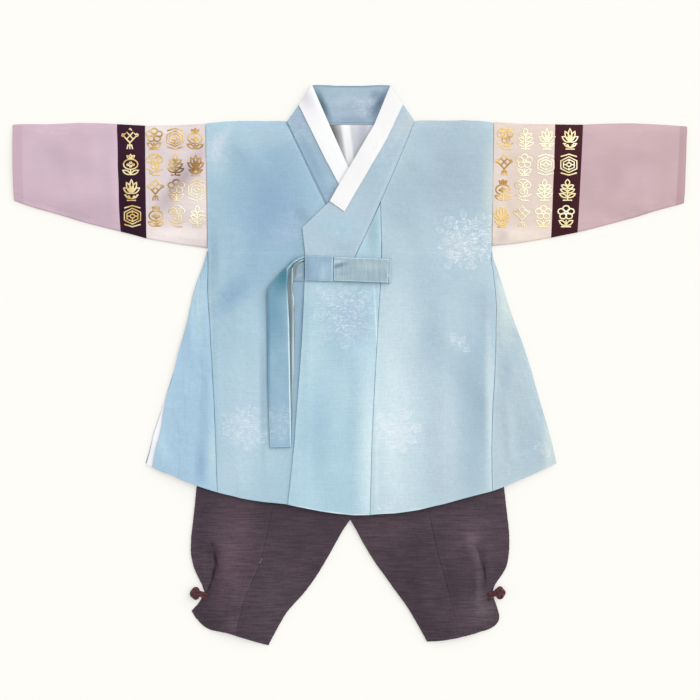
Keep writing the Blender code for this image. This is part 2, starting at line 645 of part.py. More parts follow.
def tube(name, sections, crown, columns, thickness, cloth, colour):
    """A flattened tube of cloth through its sections."""
    rings = []
    for section in sections:
        start, end = (section.upper_x, section.upper_drop), (section.lower_x, section.lower_drop)
        width = math.dist(start, end)
        cells = [mix(ROLL, width - ROLL, share) for share in evenly(columns)]
        hollow = lambda a, w=width: SEAM + crown * smooth(min(a, w - a) / (ROLL * 2))
        rings.append(skins(start, end, flattened(width, cells, hollow, thickness)))
    return wall(name, *zip(*rings), cloth, colour, around=True)


def build_sleeves():
    cloths = {"sleeve_blush": ("blush_silk", BLUSH), "sleeve_band": ("wine_band", WINE),
              "sleeve_end": ("mauve_silk", MAUVE)}
    for side, table in (("right", SLEEVE_RIGHT), ("left", SLEEVE_LEFT)):
        for name, sections in table.items():
            tube(f"{name}_{side}", sections, SLEEVE_CROWN, 4, WALL, *cloths[name])


def build_waistband():
    """The elastic waistband, a flattened tube whose ends are up and down."""
    half = LEG_LEFT[0].outer_x
    bottom = WAIST_TOP + WAIST_DEPTH
    rows = [Section(-half + 1, WAIST_TOP, half - 1, WAIST_TOP), Section(-half, bottom, half, bottom)]
    tube("waistband", rows, 0.4, 6, WALL, "plum_slub", PLUM)


def leg_hollow(row, across, width):
    """The air between a leg's front and back, which closes at its folded edges."""
    near = min(across, width - across) if row.inner_drop > CROTCH + 1 else across
    return SEAM + row.crown * smooth(near / LEG_EDGE_RAMP)


def build_leg(name, table):
    """One trouser leg: the side panel folds round its outer edge, and the inner front and
    inner back meet it at the leg's two seams."""
    rings, grid, heights = [], [], []
    for row in table:
        edge, seam = (row.outer_x, row.outer_drop), (row.seam_x, row.seam_drop)
        rim = (row.inner_x, row.inner_drop)
        side_width, inner_width = math.dist(edge, seam), math.dist(seam, rim)
        width = side_width + inner_width

        def side_hollow(across):
            """The air under the front, this far in from the outer fold."""
            return leg_hollow(row, across, width) + folds(LEG_FOLDS, *along(edge, seam, across))

        def inner_hollow(across):
            """The air under the front, this far in from the front seam."""
            puffed = leg_hollow(row, side_width + across, width)
            return puffed + folds(LEG_FOLDS, *along(seam, rim, across))

        cells = [mix(ROLL, side_width - SEAM / 2, share) for share in SIDE_PANEL_COLUMNS]
        rings.append(skins(edge, seam, doubled(cells, side_hollow, WALL)))
        cells = [mix(SEAM / 2, inner_width - ROLL, share) for share in evenly(3)]
        cells.append(inner_width - SEAM / 2)
        grid.append([along(seam, rim, across) for across in cells])
        heights.append([WALL + inner_hollow(across) for across in cells])
    wall(f"leg_side_{name}", *zip(*rings), "plum_slub", PLUM)
    cells = [list(zip(points, row)) for points, row in zip(grid, heights)]
    under = [[place(*point, z) for point, z in row] for row in cells]
    top = [[place(*point, z + WALL) for point, z in row] for row in cells]
    wall(f"leg_front_{name}", top, under, "plum_slub", PLUM)
    laid(f"leg_back_{name}", grid, lambda x, drop: 0.0, WALL, "plum_slub", PLUM)


def tie_slope(x, drop):
    return drop + (x - KNOT_START) * TIE_TILT


def on_left_front(x, drop):
    """Just above the left front and its gusset."""
    return left_bed(x, drop) + COLLAR_WALL + AIR


def build_knot():
    """The flat wrap of the tie's knot, on the left front."""
    grid = [[(x, tie_slope(x, TIE_TOP + TIE_WIDTH * t)) for t in evenly(3)]
            for x in (mix(KNOT_START, KNOT_END, share) for share in evenly(3))]
    laid("tie_knot", grid, on_left_front, KNOT_WALL, "blue_tie", BLUE)


def build_loop():
    """The bow's one loop: the tie doubled back on itself towards the wearer's left."""
    length = LOOP_END - KNOT_END - SEAM
    cells = [mix(3.0, length, share) for share in evenly(4)]
    hollow = lambda a: SEAM + LOOP_PUFF * math.sin(math.pi * min(a / length, 1))
    rings = []
    for share in evenly(3):
        drop = TIE_TOP + 0.6 + (TIE_WIDTH - 1.2) * share
        start, end = ((x, tie_slope(x, drop)) for x in (LOOP_END, KNOT_END + SEAM))
        base = lambda a: on_left_front(*along(start, end, a))
        flat = doubled(cells, hollow, LOOP_WALL)
        path = [((a, z + base(a)), (b, y + base(b))) for (a, z), (b, y) in flat]
        rings.append(skins(start, end, path))
    wall("tie_loop", *zip(*rings), "blue_tie", BLUE)


def build_tails():
    """The two tails, which turn down from the front's edge and hang side by side."""
    stub = [[(x, mix(147.6, 167.6, t)) for t in evenly(2)] for x in (STUB_END, -54.5, -48.2)]
    on_front = lambda x, drop: right_bed(x, drop) + WALL + ON_COLLAR
    laid("tie_stub", stub, on_front, WALL, "blue_tie", BLUE)
    corner = lambda drop: 1 - smooth((drop - 172) / 24)
    back_on = lambda x, drop: on_front(x, drop) + (WALL + ON_COLLAR) * corner(drop)
    front_on = lambda x, drop: back_on(x, drop) + WALL + ON_COLLAR
    for name, table, bed in (("tie_tail_back", TAIL_BACK, back_on),
                             ("tie_tail_front", TAIL_FRONT, front_on)):
        grid = [[(mix(row.outer_x, row.inner_x, t), mix(row.outer_drop, row.inner_drop, t))
                 for t in evenly(3)] for row in table]
        laid(name, grid, bed, WALL, "blue_tie", BLUE)


def build_buttons():
    """A knotted ball at each ankle, and the cord loop that holds it to the leg."""
    for button in BUTTONS:
        mesh = bmesh.new()
        bmesh.ops.create_uvsphere(mesh, u_segments=20, v_segments=10, radius=1.0)
        centre = place(button.x, button.drop, KNOT_BALL * KNOT_FLAT + SEAM)
        for vertex in mesh.verts:
            x, y, level = vertex.co
            turn = math.atan2(y, -button.side * x)
            lobe = math.cos(KNOT_LOBES * turn + 2.2 * level) * math.sqrt(max(1 - level**2, 0))
            spread = KNOT_BALL * (1 + KNOT_LOBE * lobe)
            size = (x * spread, y * spread * KNOT_LONG, level * KNOT_BALL * KNOT_FLAT)
            vertex.co = [middle + part * MM for middle, part in zip(centre, size)]
        add_object(f"ankle_button_{button.name}", mesh, "wine_cord", CORD)
        build_cord_loop(button)


def cord(name, points, radius, cloth, colour, sides=8):
    """A cord through level points (x, drop, z)."""
    mesh = bmesh.new()
    turns = [2 * math.pi * k / sides for k in range(sides)]
    rings = []
    for i, (x, drop, z) in enumerate(points):
        before, after = points[max(i - 1, 0)], points[min(i + 1, len(points) - 1)]
        heading = math.atan2(after[1] - before[1], after[0] - before[0])
        ring = []
        for turn in turns:
            aside = radius * math.cos(turn)
            at = (x - aside * math.sin(heading), drop + aside * math.cos(heading))
            ring.append(mesh.verts.new(place(*at, z + radius * math.sin(turn))))
        rings.append(ring)
    for first, second in zip(rings, rings[1:]):
        for k in range(sides):
            n = (k + 1) % sides
            mesh.faces.new((first[k], first[n], second[n], second[k]))
    mesh.faces.new(rings[0])
    mesh.faces.new(rings[-1])
    return add_object(name, mesh, cloth, colour)


def build_cord_loop(button):
    """A bent length of cord between the leg and the knotted ball."""
    middle = (button.upper_drop + button.lower_drop) / 2
    half = (button.lower_drop - button.upper_drop) / 2
    beside = KNOT_BALL * (1 + KNOT_LOBE) + LOOP_CORD + SEAM
    reach = button.x - button.side * beside - button.leg_x
    points = []
    for step in range(9):
        turn = math.pi * (step / 8 - 0.5)
        points.append((button.leg_x + reach * math.cos(turn), middle + half * math.sin(turn), LOOP_HEIGHT))
    cord(f"ankle_loop_{button.name}", points, LOOP_CORD, "wine_cord", CORD)


def main():
    for old in list(bpy.data.objects):
        bpy.data.objects.remove(old)
    build_back()
    build_lining()
    build_fronts()
    build_gussets()
    build_collar()
    build_sleeves()
    build_waistband()
    build_leg("right", LEG_RIGHT)
    build_leg("left", LEG_LEFT)
    build_knot()
    build_loop()
    build_tails()
    build_buttons()


main()
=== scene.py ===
"""A child's hanbok laid flat: short jacket with its breast tie, gilt sleeves, and trousers buttoned at the ankle.

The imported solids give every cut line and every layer. Each class below takes the solids of one part of the
set, works them as cloth, cord or gilding, and puts the finish on. Sizes and places in the tables are
millimetres: x is across and y is up from the middle of the set, and a drop is down from the shoulder line.
"""

import json
import logging
import math
from collections.abc import Iterator
from contextlib import contextmanager
from dataclasses import dataclass
from enum import Enum
from functools import reduce
from typing import ClassVar

import bpy
import numpy as np
from mathutils import Matrix, Vector
from mathutils.bvhtree import BVHTree
from mathutils.kdtree import KDTree

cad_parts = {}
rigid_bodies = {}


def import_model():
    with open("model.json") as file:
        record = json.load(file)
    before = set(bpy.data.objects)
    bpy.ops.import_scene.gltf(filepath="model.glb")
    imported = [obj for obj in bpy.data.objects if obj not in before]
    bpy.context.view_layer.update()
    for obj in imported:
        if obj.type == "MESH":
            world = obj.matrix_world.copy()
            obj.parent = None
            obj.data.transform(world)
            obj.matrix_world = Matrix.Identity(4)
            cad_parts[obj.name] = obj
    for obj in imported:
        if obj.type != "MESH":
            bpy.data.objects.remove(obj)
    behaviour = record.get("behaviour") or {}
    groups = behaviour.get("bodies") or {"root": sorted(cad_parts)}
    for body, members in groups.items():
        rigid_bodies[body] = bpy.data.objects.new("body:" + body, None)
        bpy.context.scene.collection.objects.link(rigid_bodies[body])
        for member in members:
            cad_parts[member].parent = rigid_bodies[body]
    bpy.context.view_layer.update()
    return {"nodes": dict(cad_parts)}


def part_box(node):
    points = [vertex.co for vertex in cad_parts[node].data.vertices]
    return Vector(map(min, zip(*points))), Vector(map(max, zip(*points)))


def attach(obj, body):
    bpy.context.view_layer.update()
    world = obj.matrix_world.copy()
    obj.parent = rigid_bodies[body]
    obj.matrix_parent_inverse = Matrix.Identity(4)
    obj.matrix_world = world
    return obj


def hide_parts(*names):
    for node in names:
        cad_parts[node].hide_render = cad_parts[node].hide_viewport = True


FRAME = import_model()

MM = 0.001
SHOULDER = 255.95  # millimetres from the middle of the set up to the shoulder line
LIGHT_LEVEL = 1.06  # light that falls on the laid cloth, so a dye is given as it looks
SLIVER = 1e-9  # a face smaller than this, in square metres, is too thin to have a direction

Material = bpy.types.Material
Node = bpy.types.Node
Piece = bpy.types.Object
Socket = bpy.types.NodeSocket
Point = tuple[float, float]
Look = tuple[int, int, int]
Tint = tuple[float, float, float]

log = logging.getLogger("hanbok")


def dye(look: Look) -> Tint:
    """Turns a colour as it looks in the studio, 0 to 255, into the linear dye that gives it."""
    shares = (value / 255 for value in look)
    return tuple((s / 12.92 if s <= 0.04045 else ((s + 0.055) / 1.055) ** 2.4) / LIGHT_LEVEL for s in shares)


def soft_step(value: np.ndarray, low: float, high: float) -> np.ndarray:
    """Rises softly from 0 where a value is at low, to 1 where it is at high."""
    share = np.clip((value - low) / (high - low), 0.0, 1.0)
    return share * share * (3.0 - 2.0 * share)


# ---------------------------------------------------------------- the work table


def pick_none() -> None:
    """Deselects everything."""
    bpy.ops.object.select_all(action="DESELECT")


def pick(*pieces: Piece) -> None:
    """Selects these pieces alone and makes the first one active.

    Args:
        pieces: The pieces to work on.
    """
    pick_none()
    for piece in pieces:
        piece.select_set(True)
    bpy.context.view_layer.objects.active = pieces[0]


@contextmanager
def opened(piece: Piece) -> Iterator[None]:
    """Opens a piece for editing with all of it selected, and closes it after the block.

    Args:
        piece: The piece to edit.

    Yields:
        Nothing.
    """
    pick(piece)
    bpy.ops.object.mode_set(mode="EDIT")
    bpy.ops.mesh.select_all(action="SELECT")
    yield
    bpy.ops.object.mode_set(mode="OBJECT")


def add_object(name: str, data: bpy.types.ID) -> Piece:
    """Puts a new object in the scene.

    Args:
        name: The object's name.
        data: Its mesh, lamp or camera.

    Returns:
        The new object.
    """
    made = bpy.data.objects.new(name, data)
    bpy.context.scene.collection.objects.link(made)
    return made


def places(piece: Piece) -> np.ndarray:
    """Reads a piece's points.

    Args:
        piece: The piece to read.

    Returns:
        One row of x, y and z in metres for each point.
    """
    found = np.empty(len(piece.data.vertices) * 3, np.float64)
    piece.data.vertices.foreach_get("co", found)
    return found.reshape(-1, 3)


def put(piece: Piece, points: np.ndarray) -> None:
    """Writes a piece's points back, from one row of x, y and z in metres for each."""
    piece.data.vertices.foreach_set("co", points.astype(np.float32).ravel())
    piece.data.update()


def facing(piece: Piece) -> np.ndarray:
    """Reads how far up each face of a piece looks.

    Args:
        piece: The piece to read.

    Returns:
        The upward part of each face's normal, from -1 to 1.
    """
    normals = np.empty(len(piece.data.polygons) * 3, np.float32)
    piece.data.polygons.foreach_get("normal", normals)
    return normals.reshape(-1, 3)[:, 2]


def select_faces(piece: Piece, chosen: np.ndarray) -> None:
    """Opens a piece for editing with the chosen faces selected.

    Args:
        piece: The piece to open.
        chosen: True for each face to select.
    """
    pick(piece)
    bpy.ops.object.mode_set(mode="EDIT")
    bpy.ops.mesh.select_mode(type="FACE")
    bpy.ops.mesh.select_all(action="DESELECT")
    bpy.ops.object.mode_set(mode="OBJECT")
    piece.data.polygons.foreach_set("select", chosen)
    bpy.ops.object.mode_set(mode="EDIT")


def finish_with(piece: Piece, kind: str, **settings: float | int | bool | str | Piece) -> None:
    """Puts one modifier on a piece and applies it.

    Args:
        piece: The piece to change.
        kind: The modifier's type.
        settings: The modifier's settings by name.
    """
    pick(piece)
    bpy.ops.object.modifier_add(type=kind)
    modifier = piece.modifiers[-1]
    for name, value in settings.items():
        setattr(modifier, name, value)
    bpy.ops.object.modifier_apply(modifier=modifier.name)


def settle_in_place(piece: Piece) -> None:
    """Writes a piece's place, turn and scale into its mesh."""
    pick(piece)
    bpy.ops.object.transform_apply(location=True, rotation=True, scale=True)


def new_curve() -> Piece:
    """Starts an empty curve at the middle of the table.

    Returns:
        The curve, which is active.
    """
    pick_none()
    bpy.ops.curve.primitive_bezier_curve_add(location=(0, 0, 0))
    curve = bpy.context.object
    curve.data.splines.clear()
    return curve


def thicken(curve: Piece, radius: float, facets: int) -> Piece:
    """Gives the active curve a round body and turns it into a mesh.

    Args:
        curve: The curve.
        radius: Half its thickness in millimetres.
        facets: How finely it is rounded.

    Returns:
        The mesh.
    """
    curve.data.bevel_depth = radius * MM
    curve.data.bevel_resolution = facets
    curve.data.use_fill_caps = True
    bpy.ops.object.convert(target="MESH")
    return bpy.context.object


def tree_of(spots: np.ndarray) -> KDTree:
    """Sorts spots so that the one nearest to a place is quickly found.

    Args:
        spots: One row of x, y and z for each spot.

    Returns:
        The tree, which knows each spot by its row.
    """
    tree = KDTree(max(len(spots), 1))
    for index, spot in enumerate(spots):
        tree.insert(spot, index)
    tree.balance()
    return tree


class Surface:
    """The upper side of a finished cloth, for what lies on it."""

    LOOK_FROM = 50 * MM

    def __init__(self, cloth: str) -> None:
        """Reads the cloth of this name."""
        mesh = bpy.data.objects[cloth].data
        self.faces = BVHTree.FromPolygons([v.co for v in mesh.vertices], [p.vertices for p in mesh.polygons])

    def height(self, x: float, y: float, bare: float) -> float:
        """Finds how high the cloth lies at a place in metres, or gives bare where there is no cloth."""
        hit = self.faces.ray_cast(Vector((x, y, self.LOOK_FROM)), Vector((0, 0, -1)))[0]
        return hit.z if hit else bare


# ---------------------------------------------------------------- finishes


class Graph:
    """Lays out nodes over one set of coordinates."""

    GRAIN_MIDDLE = 0.5
    GRAIN_SWING = 4.0

    def __init__(self, tree: bpy.types.NodeTree, source: Socket) -> None:
        """Starts on a tree of nodes, with the coordinates that it reads."""
        self.tree = tree
        self.source = source

    def add(self, kind: str, inputs: dict[str, object] | None = None, **settings: object) -> Node:
        """Adds one node.

        Args:
            kind: The node's type.
            inputs: A number, colour or socket for each input by name.
            settings: The node's own settings by name.

        Returns:
            The new node.
        """
        node = self.tree.nodes.new(kind)
        for name, value in settings.items():
            setattr(node, name, value)
        self.fill(node, inputs or {})
        return node

    def fill(self, node: Node, inputs: dict[str, object]) -> None:
        """Feeds a node's inputs by name."""
        for name, value in inputs.items():
            self.feed(node.inputs[name], value)

    def feed(self, entry: Socket, value: object) -> None:
        """Links a socket to an input, or sets the input to a number or colour."""
        if isinstance(value, bpy.types.NodeSocket):
            self.tree.links.new(value, entry)
        elif isinstance(value, tuple) and len(value) == 3 and entry.type == "RGBA":
            entry.default_value = (*value, 1.0)
        else:
            entry.default_value = value

    def work(self, kind: str, values: tuple, slots: tuple[int, ...] = (0, 1, 2), **settings: str) -> Node:
        """Adds one node that works on values in order.

        Args:
            kind: The node's type.
            values: Numbers, colours, vectors or sockets.
            slots: The number of the input that each value goes to.
            settings: The node's own settings by name.

        Returns:
            The new node.
        """
        node = self.add(kind, **settings)
        for slot, value in zip(slots, values):
            self.feed(node.inputs[slot], value)
        return node

    def math(self, operation: str, *values: float | Socket) -> Socket:
        """Works out one number from numbers or sockets."""
        return self.work("ShaderNodeMath", values, operation=operation).outputs[0]

    def most(self, *masks: Socket) -> Socket:
        """Gives the strongest of several masks."""
        return reduce(lambda first, second: self.math("MAXIMUM", first, second), masks)

    def split(self, source: Socket) -> bpy.types.bpy_prop_collection:
        """Gives the parts of a vector along x, y and z."""
        return self.add("ShaderNodeSeparateXYZ", {"Vector": source}).outputs

    def reach(self, source: Socket) -> Socket:
        """Gives how far a point is from the middle, seen from above."""
        flat = self.work("ShaderNodeVectorMath", (source, (1.0, 1.0, 0.0)), operation="MULTIPLY").outputs[0]
        return self.work("ShaderNodeVectorMath", (flat,), operation="LENGTH").outputs["Value"]

    def dim(self, colour: Socket, share: Socket) -> Socket:
        """Makes a colour darker or lighter by a share of itself."""
        return self.work("ShaderNodeVectorMath", (colour, share), (0, 3), operation="SCALE").outputs[0]

    def sway(self, grain: Socket, strength: float, base: float | Socket) -> Socket:
        """Swings a number up and down with a noise."""
        swing = self.math("SUBTRACT", grain, self.GRAIN_MIDDLE)
        return self.math("MULTIPLY_ADD", swing, strength * self.GRAIN_SWING, base)

    def polar(self) -> tuple[Socket, Socket]:
        """Gives a point's distance and its bearing, in radians, from the middle."""
        parts = self.split(self.source)
        return self.reach(self.source), self.math("ARCTAN2", parts[1], parts[0])

    def rise(self, value: Socket, low: float, high: float, bottom: float = 0.0, top: float = 1.0) -> Socket:
        """Rises softly from bottom at low to top at high."""
        ends = {"Value": value, "From Min": low, "From Max": high, "To Min": bottom, "To Max": top}
        return self.add("ShaderNodeMapRange", ends, interpolation_type="SMOOTHSTEP").outputs["Result"]

    def mix(self, share: float | Socket, first: object, second: object) -> Socket:
        """Mixes two colours: share is how much of the second one shows."""
        return self.work("ShaderNodeMix", (share, first, second), (0, 6, 7), data_type="RGBA").outputs[2]

    def switch(self, share: Socket, first: Socket, second: Socket) -> Socket:
        """Goes from one set of coordinates to another where share is 1."""
        return self.work("ShaderNodeMix", (share, first, second), (0, 4, 5), data_type="VECTOR").outputs[1]

    def place(self, location: tuple, angle: float = 0.0, scale: tuple = (1, 1, 1)) -> Socket:
        """Brings a pattern to its place, turn and scale on the cloth."""
        settings = {"Location": location, "Rotation": (0, 0, math.radians(angle)), "Scale": scale}
        return self.add("ShaderNodeMapping", {"Vector": self.source, **settings}, vector_type="TEXTURE").outputs[0]

    def noise(self, sizes: tuple[float, float, float], detail: float, shift: float) -> Socket:
        """Adds an even noise of grains this long along x, y and z.

        Args:
            sizes: The grain's size in millimetres along each axis.
            detail: How many finer grains lie in it.
            shift: A shift that gives another draw of the same noise.

        Returns:
            The noise, about 0.5.
        """
        spread = self.place((shift, shift * 0.7, 0), scale=tuple(size * MM for size in sizes))
        node = self.add("ShaderNodeTexNoise", {"Vector": spread, "Scale": 1.0, "Detail": detail, "Roughness": 0.55})
        return node.outputs[0]


class Finish(Graph):
    """Lays out the nodes of one material over the piece's own coordinates."""

    def __init__(self, name: str) -> None:
        """Starts a material of this name."""
        self.made = bpy.data.materials.new(name)
        self.made.use_nodes = True
        nodes = self.made.node_tree.nodes
        super().__init__(self.made.node_tree, nodes.new("ShaderNodeTexCoord").outputs["Object"])
        self.shader = nodes["Principled BSDF"]

    def emboss(self, height: Socket, strength: float, relief: float) -> None:
        """Raises the threads by up to a relief in millimetres."""
        bump = self.add("ShaderNodeBump", {"Height": height, "Strength": strength, "Distance": relief * MM})
        self.feed(self.shader.inputs["Normal"], bump.outputs[0])


class MotifKind(Enum):
    """The woven motifs."""

    BOUQUET = "bouquet"
    SPRAY = "spray"
    FLUTTER = "flutter"


class MotifArt:
    """Draws the woven motifs once, as groups that each dyed silk calls."""

    LINE = 0.05
    LINE_FADE = 2.2
    PETAL_DIP = 0.3
    PETAL_FOOT = 0.76

    def __init__(self) -> None:
        """Draws nothing yet; a motif is drawn when it is first asked for."""
        self.drawn: dict[str, bpy.types.NodeTree] = {}

    def start(self, name: str) -> Graph:
        """Starts one group that reads coordinates and gives how strong the motif shows.

        Args:
            name: The group's name.

        Returns:
            The graph to draw on.
        """
        tree = bpy.data.node_groups.new(name, "ShaderNodeTree")
        tree.interface.new_socket("Vector", in_out="INPUT", socket_type="NodeSocketVector")
        tree.interface.new_socket("Mask", in_out="OUTPUT", socket_type="NodeSocketFloat")
        return Graph(tree, tree.nodes.new("NodeGroupInput").outputs[0])

    def keep(self, graph: Graph, name: str, mask: Socket) -> bpy.types.NodeTree:
        """Ends a group with its mask and keeps it by name.

        Args:
            graph: The graph that was drawn on.
            name: The group's name.
            mask: How strong the motif shows.

        Returns:
            The finished group.
        """
        leave = graph.tree.nodes.new("NodeGroupOutput")
        graph.tree.links.new(mask, leave.inputs[0])
        self.drawn[name] = graph.tree
        return graph.tree

    def stamp(self, graph: Graph, name: str, source: Socket) -> Socket:
        """Calls a drawn group.

        Args:
            graph: The graph to call it in.
            name: The group's name.
            source: The coordinates that it reads.

        Returns:
            The motif's mask.
        """
        drawing = {"peony": self.peony, "blossom": self.blossom, "leaf": self.leaf}.get(name)
        if drawing is None:
            drawing = {k.value: m for k, m in zip(MotifKind, (self.bouquet, self.spray, self.flutter))}[name]
        tree = self.drawn.get(name) or drawing()
        node = graph.tree.nodes.new("ShaderNodeGroup")
        node.node_tree = tree
        graph.tree.links.new(source, node.inputs[0])
        return node.outputs[0]

    def petal_ring(
        self, graph: Graph, reach: Socket, bearing: Socket, size: float, count: int, turn: float,
    ) -> tuple[Socket, Socket]:
        """Draws one ring of rounded petals.

        Args:
            graph: The graph to draw on.
            reach: Distance from the flower's middle.
            bearing: Bearing round it.
            size: How far the petals reach.
            count: How many petals there are.
            turn: How far the ring is turned, in radians.

        Returns:
            The outline of the petals, and how far inside them a point is.
        """
        wave = graph.math("ABSOLUTE", graph.math("COSINE", graph.math("MULTIPLY_ADD", bearing, count / 2, turn)))
        edge = graph.math("MULTIPLY_ADD", wave, self.PETAL_DIP * size, self.PETAL_FOOT * size)
        inside = graph.math("SUBTRACT", edge, reach)
        line = graph.rise(graph.math("ABSOLUTE", inside), self.LINE, self.LINE * self.LINE_FADE, 1.0, 0.0)
        return line, inside

    def peony(self) -> bpy.types.NodeTree:
        """Draws a full flower of three rings of petals with fine veins, one unit in reach.

        Returns:
            The finished group.
        """
        graph = self.start("peony")
        reach, bearing = graph.polar()
        outer, inside = self.petal_ring(graph, reach, bearing, 0.96, 9, 0.0)
        middle, _ = self.petal_ring(graph, reach, bearing, 0.64, 7, 0.8)
        inner, _ = self.petal_ring(graph, reach, bearing, 0.33, 5, 0.3)
        heart = graph.rise(reach, 0.07, 0.12, 0.9, 0.0)
        veins = graph.math("ABSOLUTE", graph.math("SINE", graph.math("MULTIPLY", bearing, 14.0)))
        body = graph.rise(inside, 0.0, 0.05)
        fill = graph.math("MULTIPLY", body, graph.math("MULTIPLY_ADD", graph.rise(veins, 0.4, 0.95), 0.42, 0.1))
        return self.keep(graph, "peony", graph.most(outer, middle, inner, heart, fill))

    def blossom(self) -> bpy.types.NodeTree:
        """Draws a small flower of five petals with a dotted heart, one unit in reach.

        Returns:
            The finished group.
        """
        graph = self.start("blossom")
        reach, bearing = graph.polar()
        outer, inside = self.petal_ring(graph, reach, bearing, 0.94, 5, 0.4)
        heart = graph.rise(graph.math("ABSOLUTE", graph.math("SUBTRACT", reach, 0.3)), 0.07, 0.13, 0.8, 0.0)
        fill = graph.rise(inside, 0.0, 0.1, 0.0, 0.35)
        return self.keep(graph, "blossom", graph.most(outer, heart, fill))

    def leaf(self) -> bpy.types.NodeTree:
        """Draws a pointed leaf with its veins, from the middle out along x, one unit long.

        Returns:
            The finished group.
        """
        graph = self.start("leaf")
        parts = graph.split(graph.source)
        along, across = parts[0], graph.math("ABSOLUTE", parts[1])
        half = graph.math("MULTIPLY", graph.math("MULTIPLY", along, graph.math("SUBTRACT", 1.0, along)), 1.05)
        inside = graph.math("SUBTRACT", half, across)
        rim = graph.rise(graph.math("ABSOLUTE", inside), 0.02, 0.05, 0.9, 0.0)
        spine = graph.rise(across, 0.012, 0.035, 0.8, 0.0)
        ribs = graph.math("SINE", graph.math("MULTIPLY_ADD", across, -40.0, graph.math("MULTIPLY", along, 44.0)))
        body = graph.rise(inside, 0.0, 0.02)
        fill = graph.math("MULTIPLY", body, graph.rise(ribs, 0.1, 0.9, 0.15, 0.5))
        lines = graph.most(graph.math("MULTIPLY", spine, body), rim)
        held = graph.math("MULTIPLY", lines, graph.rise(inside, -0.05, -0.03))
        return self.keep(graph, "leaf", graph.most(held, fill))

    def gather(self, name: str, shapes: tuple[tuple[str, float, float, float, float], ...]) -> bpy.types.NodeTree:
        """Draws a motif from smaller ones.

        Args:
            name: The motif's name.
            shapes: For each small one its name, place, size and turn in degrees.

        Returns:
            The finished group.
        """
        graph = self.start(name)
        masks = [
            self.stamp(graph, shape, graph.place((x, y, 0), turn, (size, size, 1)))
            for shape, x, y, size, turn in shapes
        ]
        return self.keep(graph, name, graph.most(*masks))

    def bouquet(self) -> bpy.types.NodeTree:
        """Gathers full flowers, small blossoms and leaves into a bouquet, one unit in reach."""
        return self.gather("bouquet", (
            ("peony", -0.14, 0.1, 0.33, 10), ("peony", 0.36, 0.2, 0.3, 40), ("peony", 0.06, -0.36, 0.3, 75),
            ("peony", -0.42, 0.56, 0.25, 20), ("peony", 0.08, 0.64, 0.25, 55), ("blossom", -0.72, 0.08, 0.21, 0),
            ("blossom", 0.6, 0.62, 0.19, 30), ("blossom", 0.02, -0.84, 0.15, 20), ("blossom", -0.36, -0.2, 0.18, 60),
            ("blossom", 0.46, -0.16, 0.17, 10), ("leaf", -0.32, -0.3, 0.5, 192), ("leaf", -0.26, -0.42, 0.44, 216),
            ("leaf", 0.4, -0.3, 0.5, 352), ("leaf", 0.34, -0.42, 0.46, 322), ("leaf", -0.64, 0.66, 0.32, 130),
            ("leaf", 0.3, 0.8, 0.3, 62), ("leaf", -0.12, 0.8, 0.26, 100), ("leaf", -0.04, -0.6, 0.34, 232),
            ("leaf", 0.1, -0.6, 0.34, 304), ("leaf", 0.64, 0.14, 0.34, 12), ("leaf", -0.56, 0.34, 0.3, 168),
        ))

    def spray(self) -> bpy.types.NodeTree:
        """Gathers leaves round two flowers into a spray, one unit in reach."""
        return self.gather("spray", (
            ("peony", -0.1, -0.45, 0.4, 5), ("blossom", 0.3, 0.62, 0.26, 15), ("blossom", 0.78, 0.02, 0.2, 50),
            ("blossom", -0.72, 0.42, 0.2, 70), ("leaf", -0.05, 0.0, 0.66, 118), ("leaf", -0.1, -0.05, 0.7, 158),
            ("leaf", 0.0, -0.02, 0.62, 72), ("leaf", 0.05, -0.1, 0.66, 26), ("leaf", -0.3, -0.2, 0.6, 190),
            ("leaf", 0.2, -0.3, 0.62, 335), ("leaf", 0.1, -0.6, 0.5, 300),
        ))

    def flutter(self) -> bpy.types.NodeTree:
        """Gathers four wings and a body into a butterfly, one unit in reach."""
        return self.gather("flutter", (
            ("leaf", -0.05, 0.05, 0.95, 128), ("leaf", -0.02, 0.02, 0.72, 168), ("leaf", 0.06, 0.06, 0.6, 62),
            ("leaf", 0.0, -0.05, 0.5, 228), ("leaf", -0.1, 0.1, 1.0, 322), ("blossom", -0.06, 0.04, 0.16, 0),
        ))


@dataclass(frozen=True)
class Motif:
    """One woven motif on a piece: its kind, middle and reach, its turn in degrees, and how strong it shows."""

    kind: MotifKind
    x: float
    y: float
    reach: float
    turn: float = 0.0
    share: float = 1.0


@dataclass(frozen=True)
class Band:
    """A stripe along a line: through a point, this wide, at this turn in degrees. It lays a facing of another dye on
    some pieces, and lines of painted light and painted shade on others.
    """

    x: float
    y: float
    width: float
    look: Look
    turn: float = 90.0
    edge: float = 0.6
    share: float = 1.0

    def lay(self, graph: Graph, colour: Socket) -> Socket:
        """Lays the stripe over a colour.

        Args:
            graph: The graph to draw on.
            colour: The colour under the stripe.

        Returns:
            The colour with the stripe.
        """
        near = graph.place((self.x * MM, self.y * MM, 0), self.turn)
        across = graph.math("ABSOLUTE", graph.split(near)[1])
        half, edge = self.width / 2 * MM, self.edge * MM
        return graph.mix(graph.rise(across, half - edge, half + edge, self.share, 0.0), colour, dye(self.look))


@dataclass(frozen=True)
class PaintedLight:
    """A soft patch of painted light, or of painted shade where its look is darker than the cloth: its middle, how far
    it spreads across and up, its share and its turn.
    """

    x: float
    drop: float
    wide: float
    high: float
    look: Look
    share: float = 0.8
    turn: float = 0.0

    def lay(self, graph: Graph, colour: Socket) -> Socket:
        """Paints the patch of light or shade into a colour.

        Args:
            graph: The graph to draw on.
            colour: The colour under the patch.

        Returns:
            The colour with the patch.
        """
        middle, spread = (self.x * MM, (SHOULDER - self.drop) * MM, 0), (self.wide * MM, self.high * MM, 1)
        away = graph.reach(graph.place(middle, self.turn, spread))
        return graph.mix(graph.rise(away, 0.0, 1.0, self.share, 0.0), colour, dye(self.look))


ART = MotifArt()


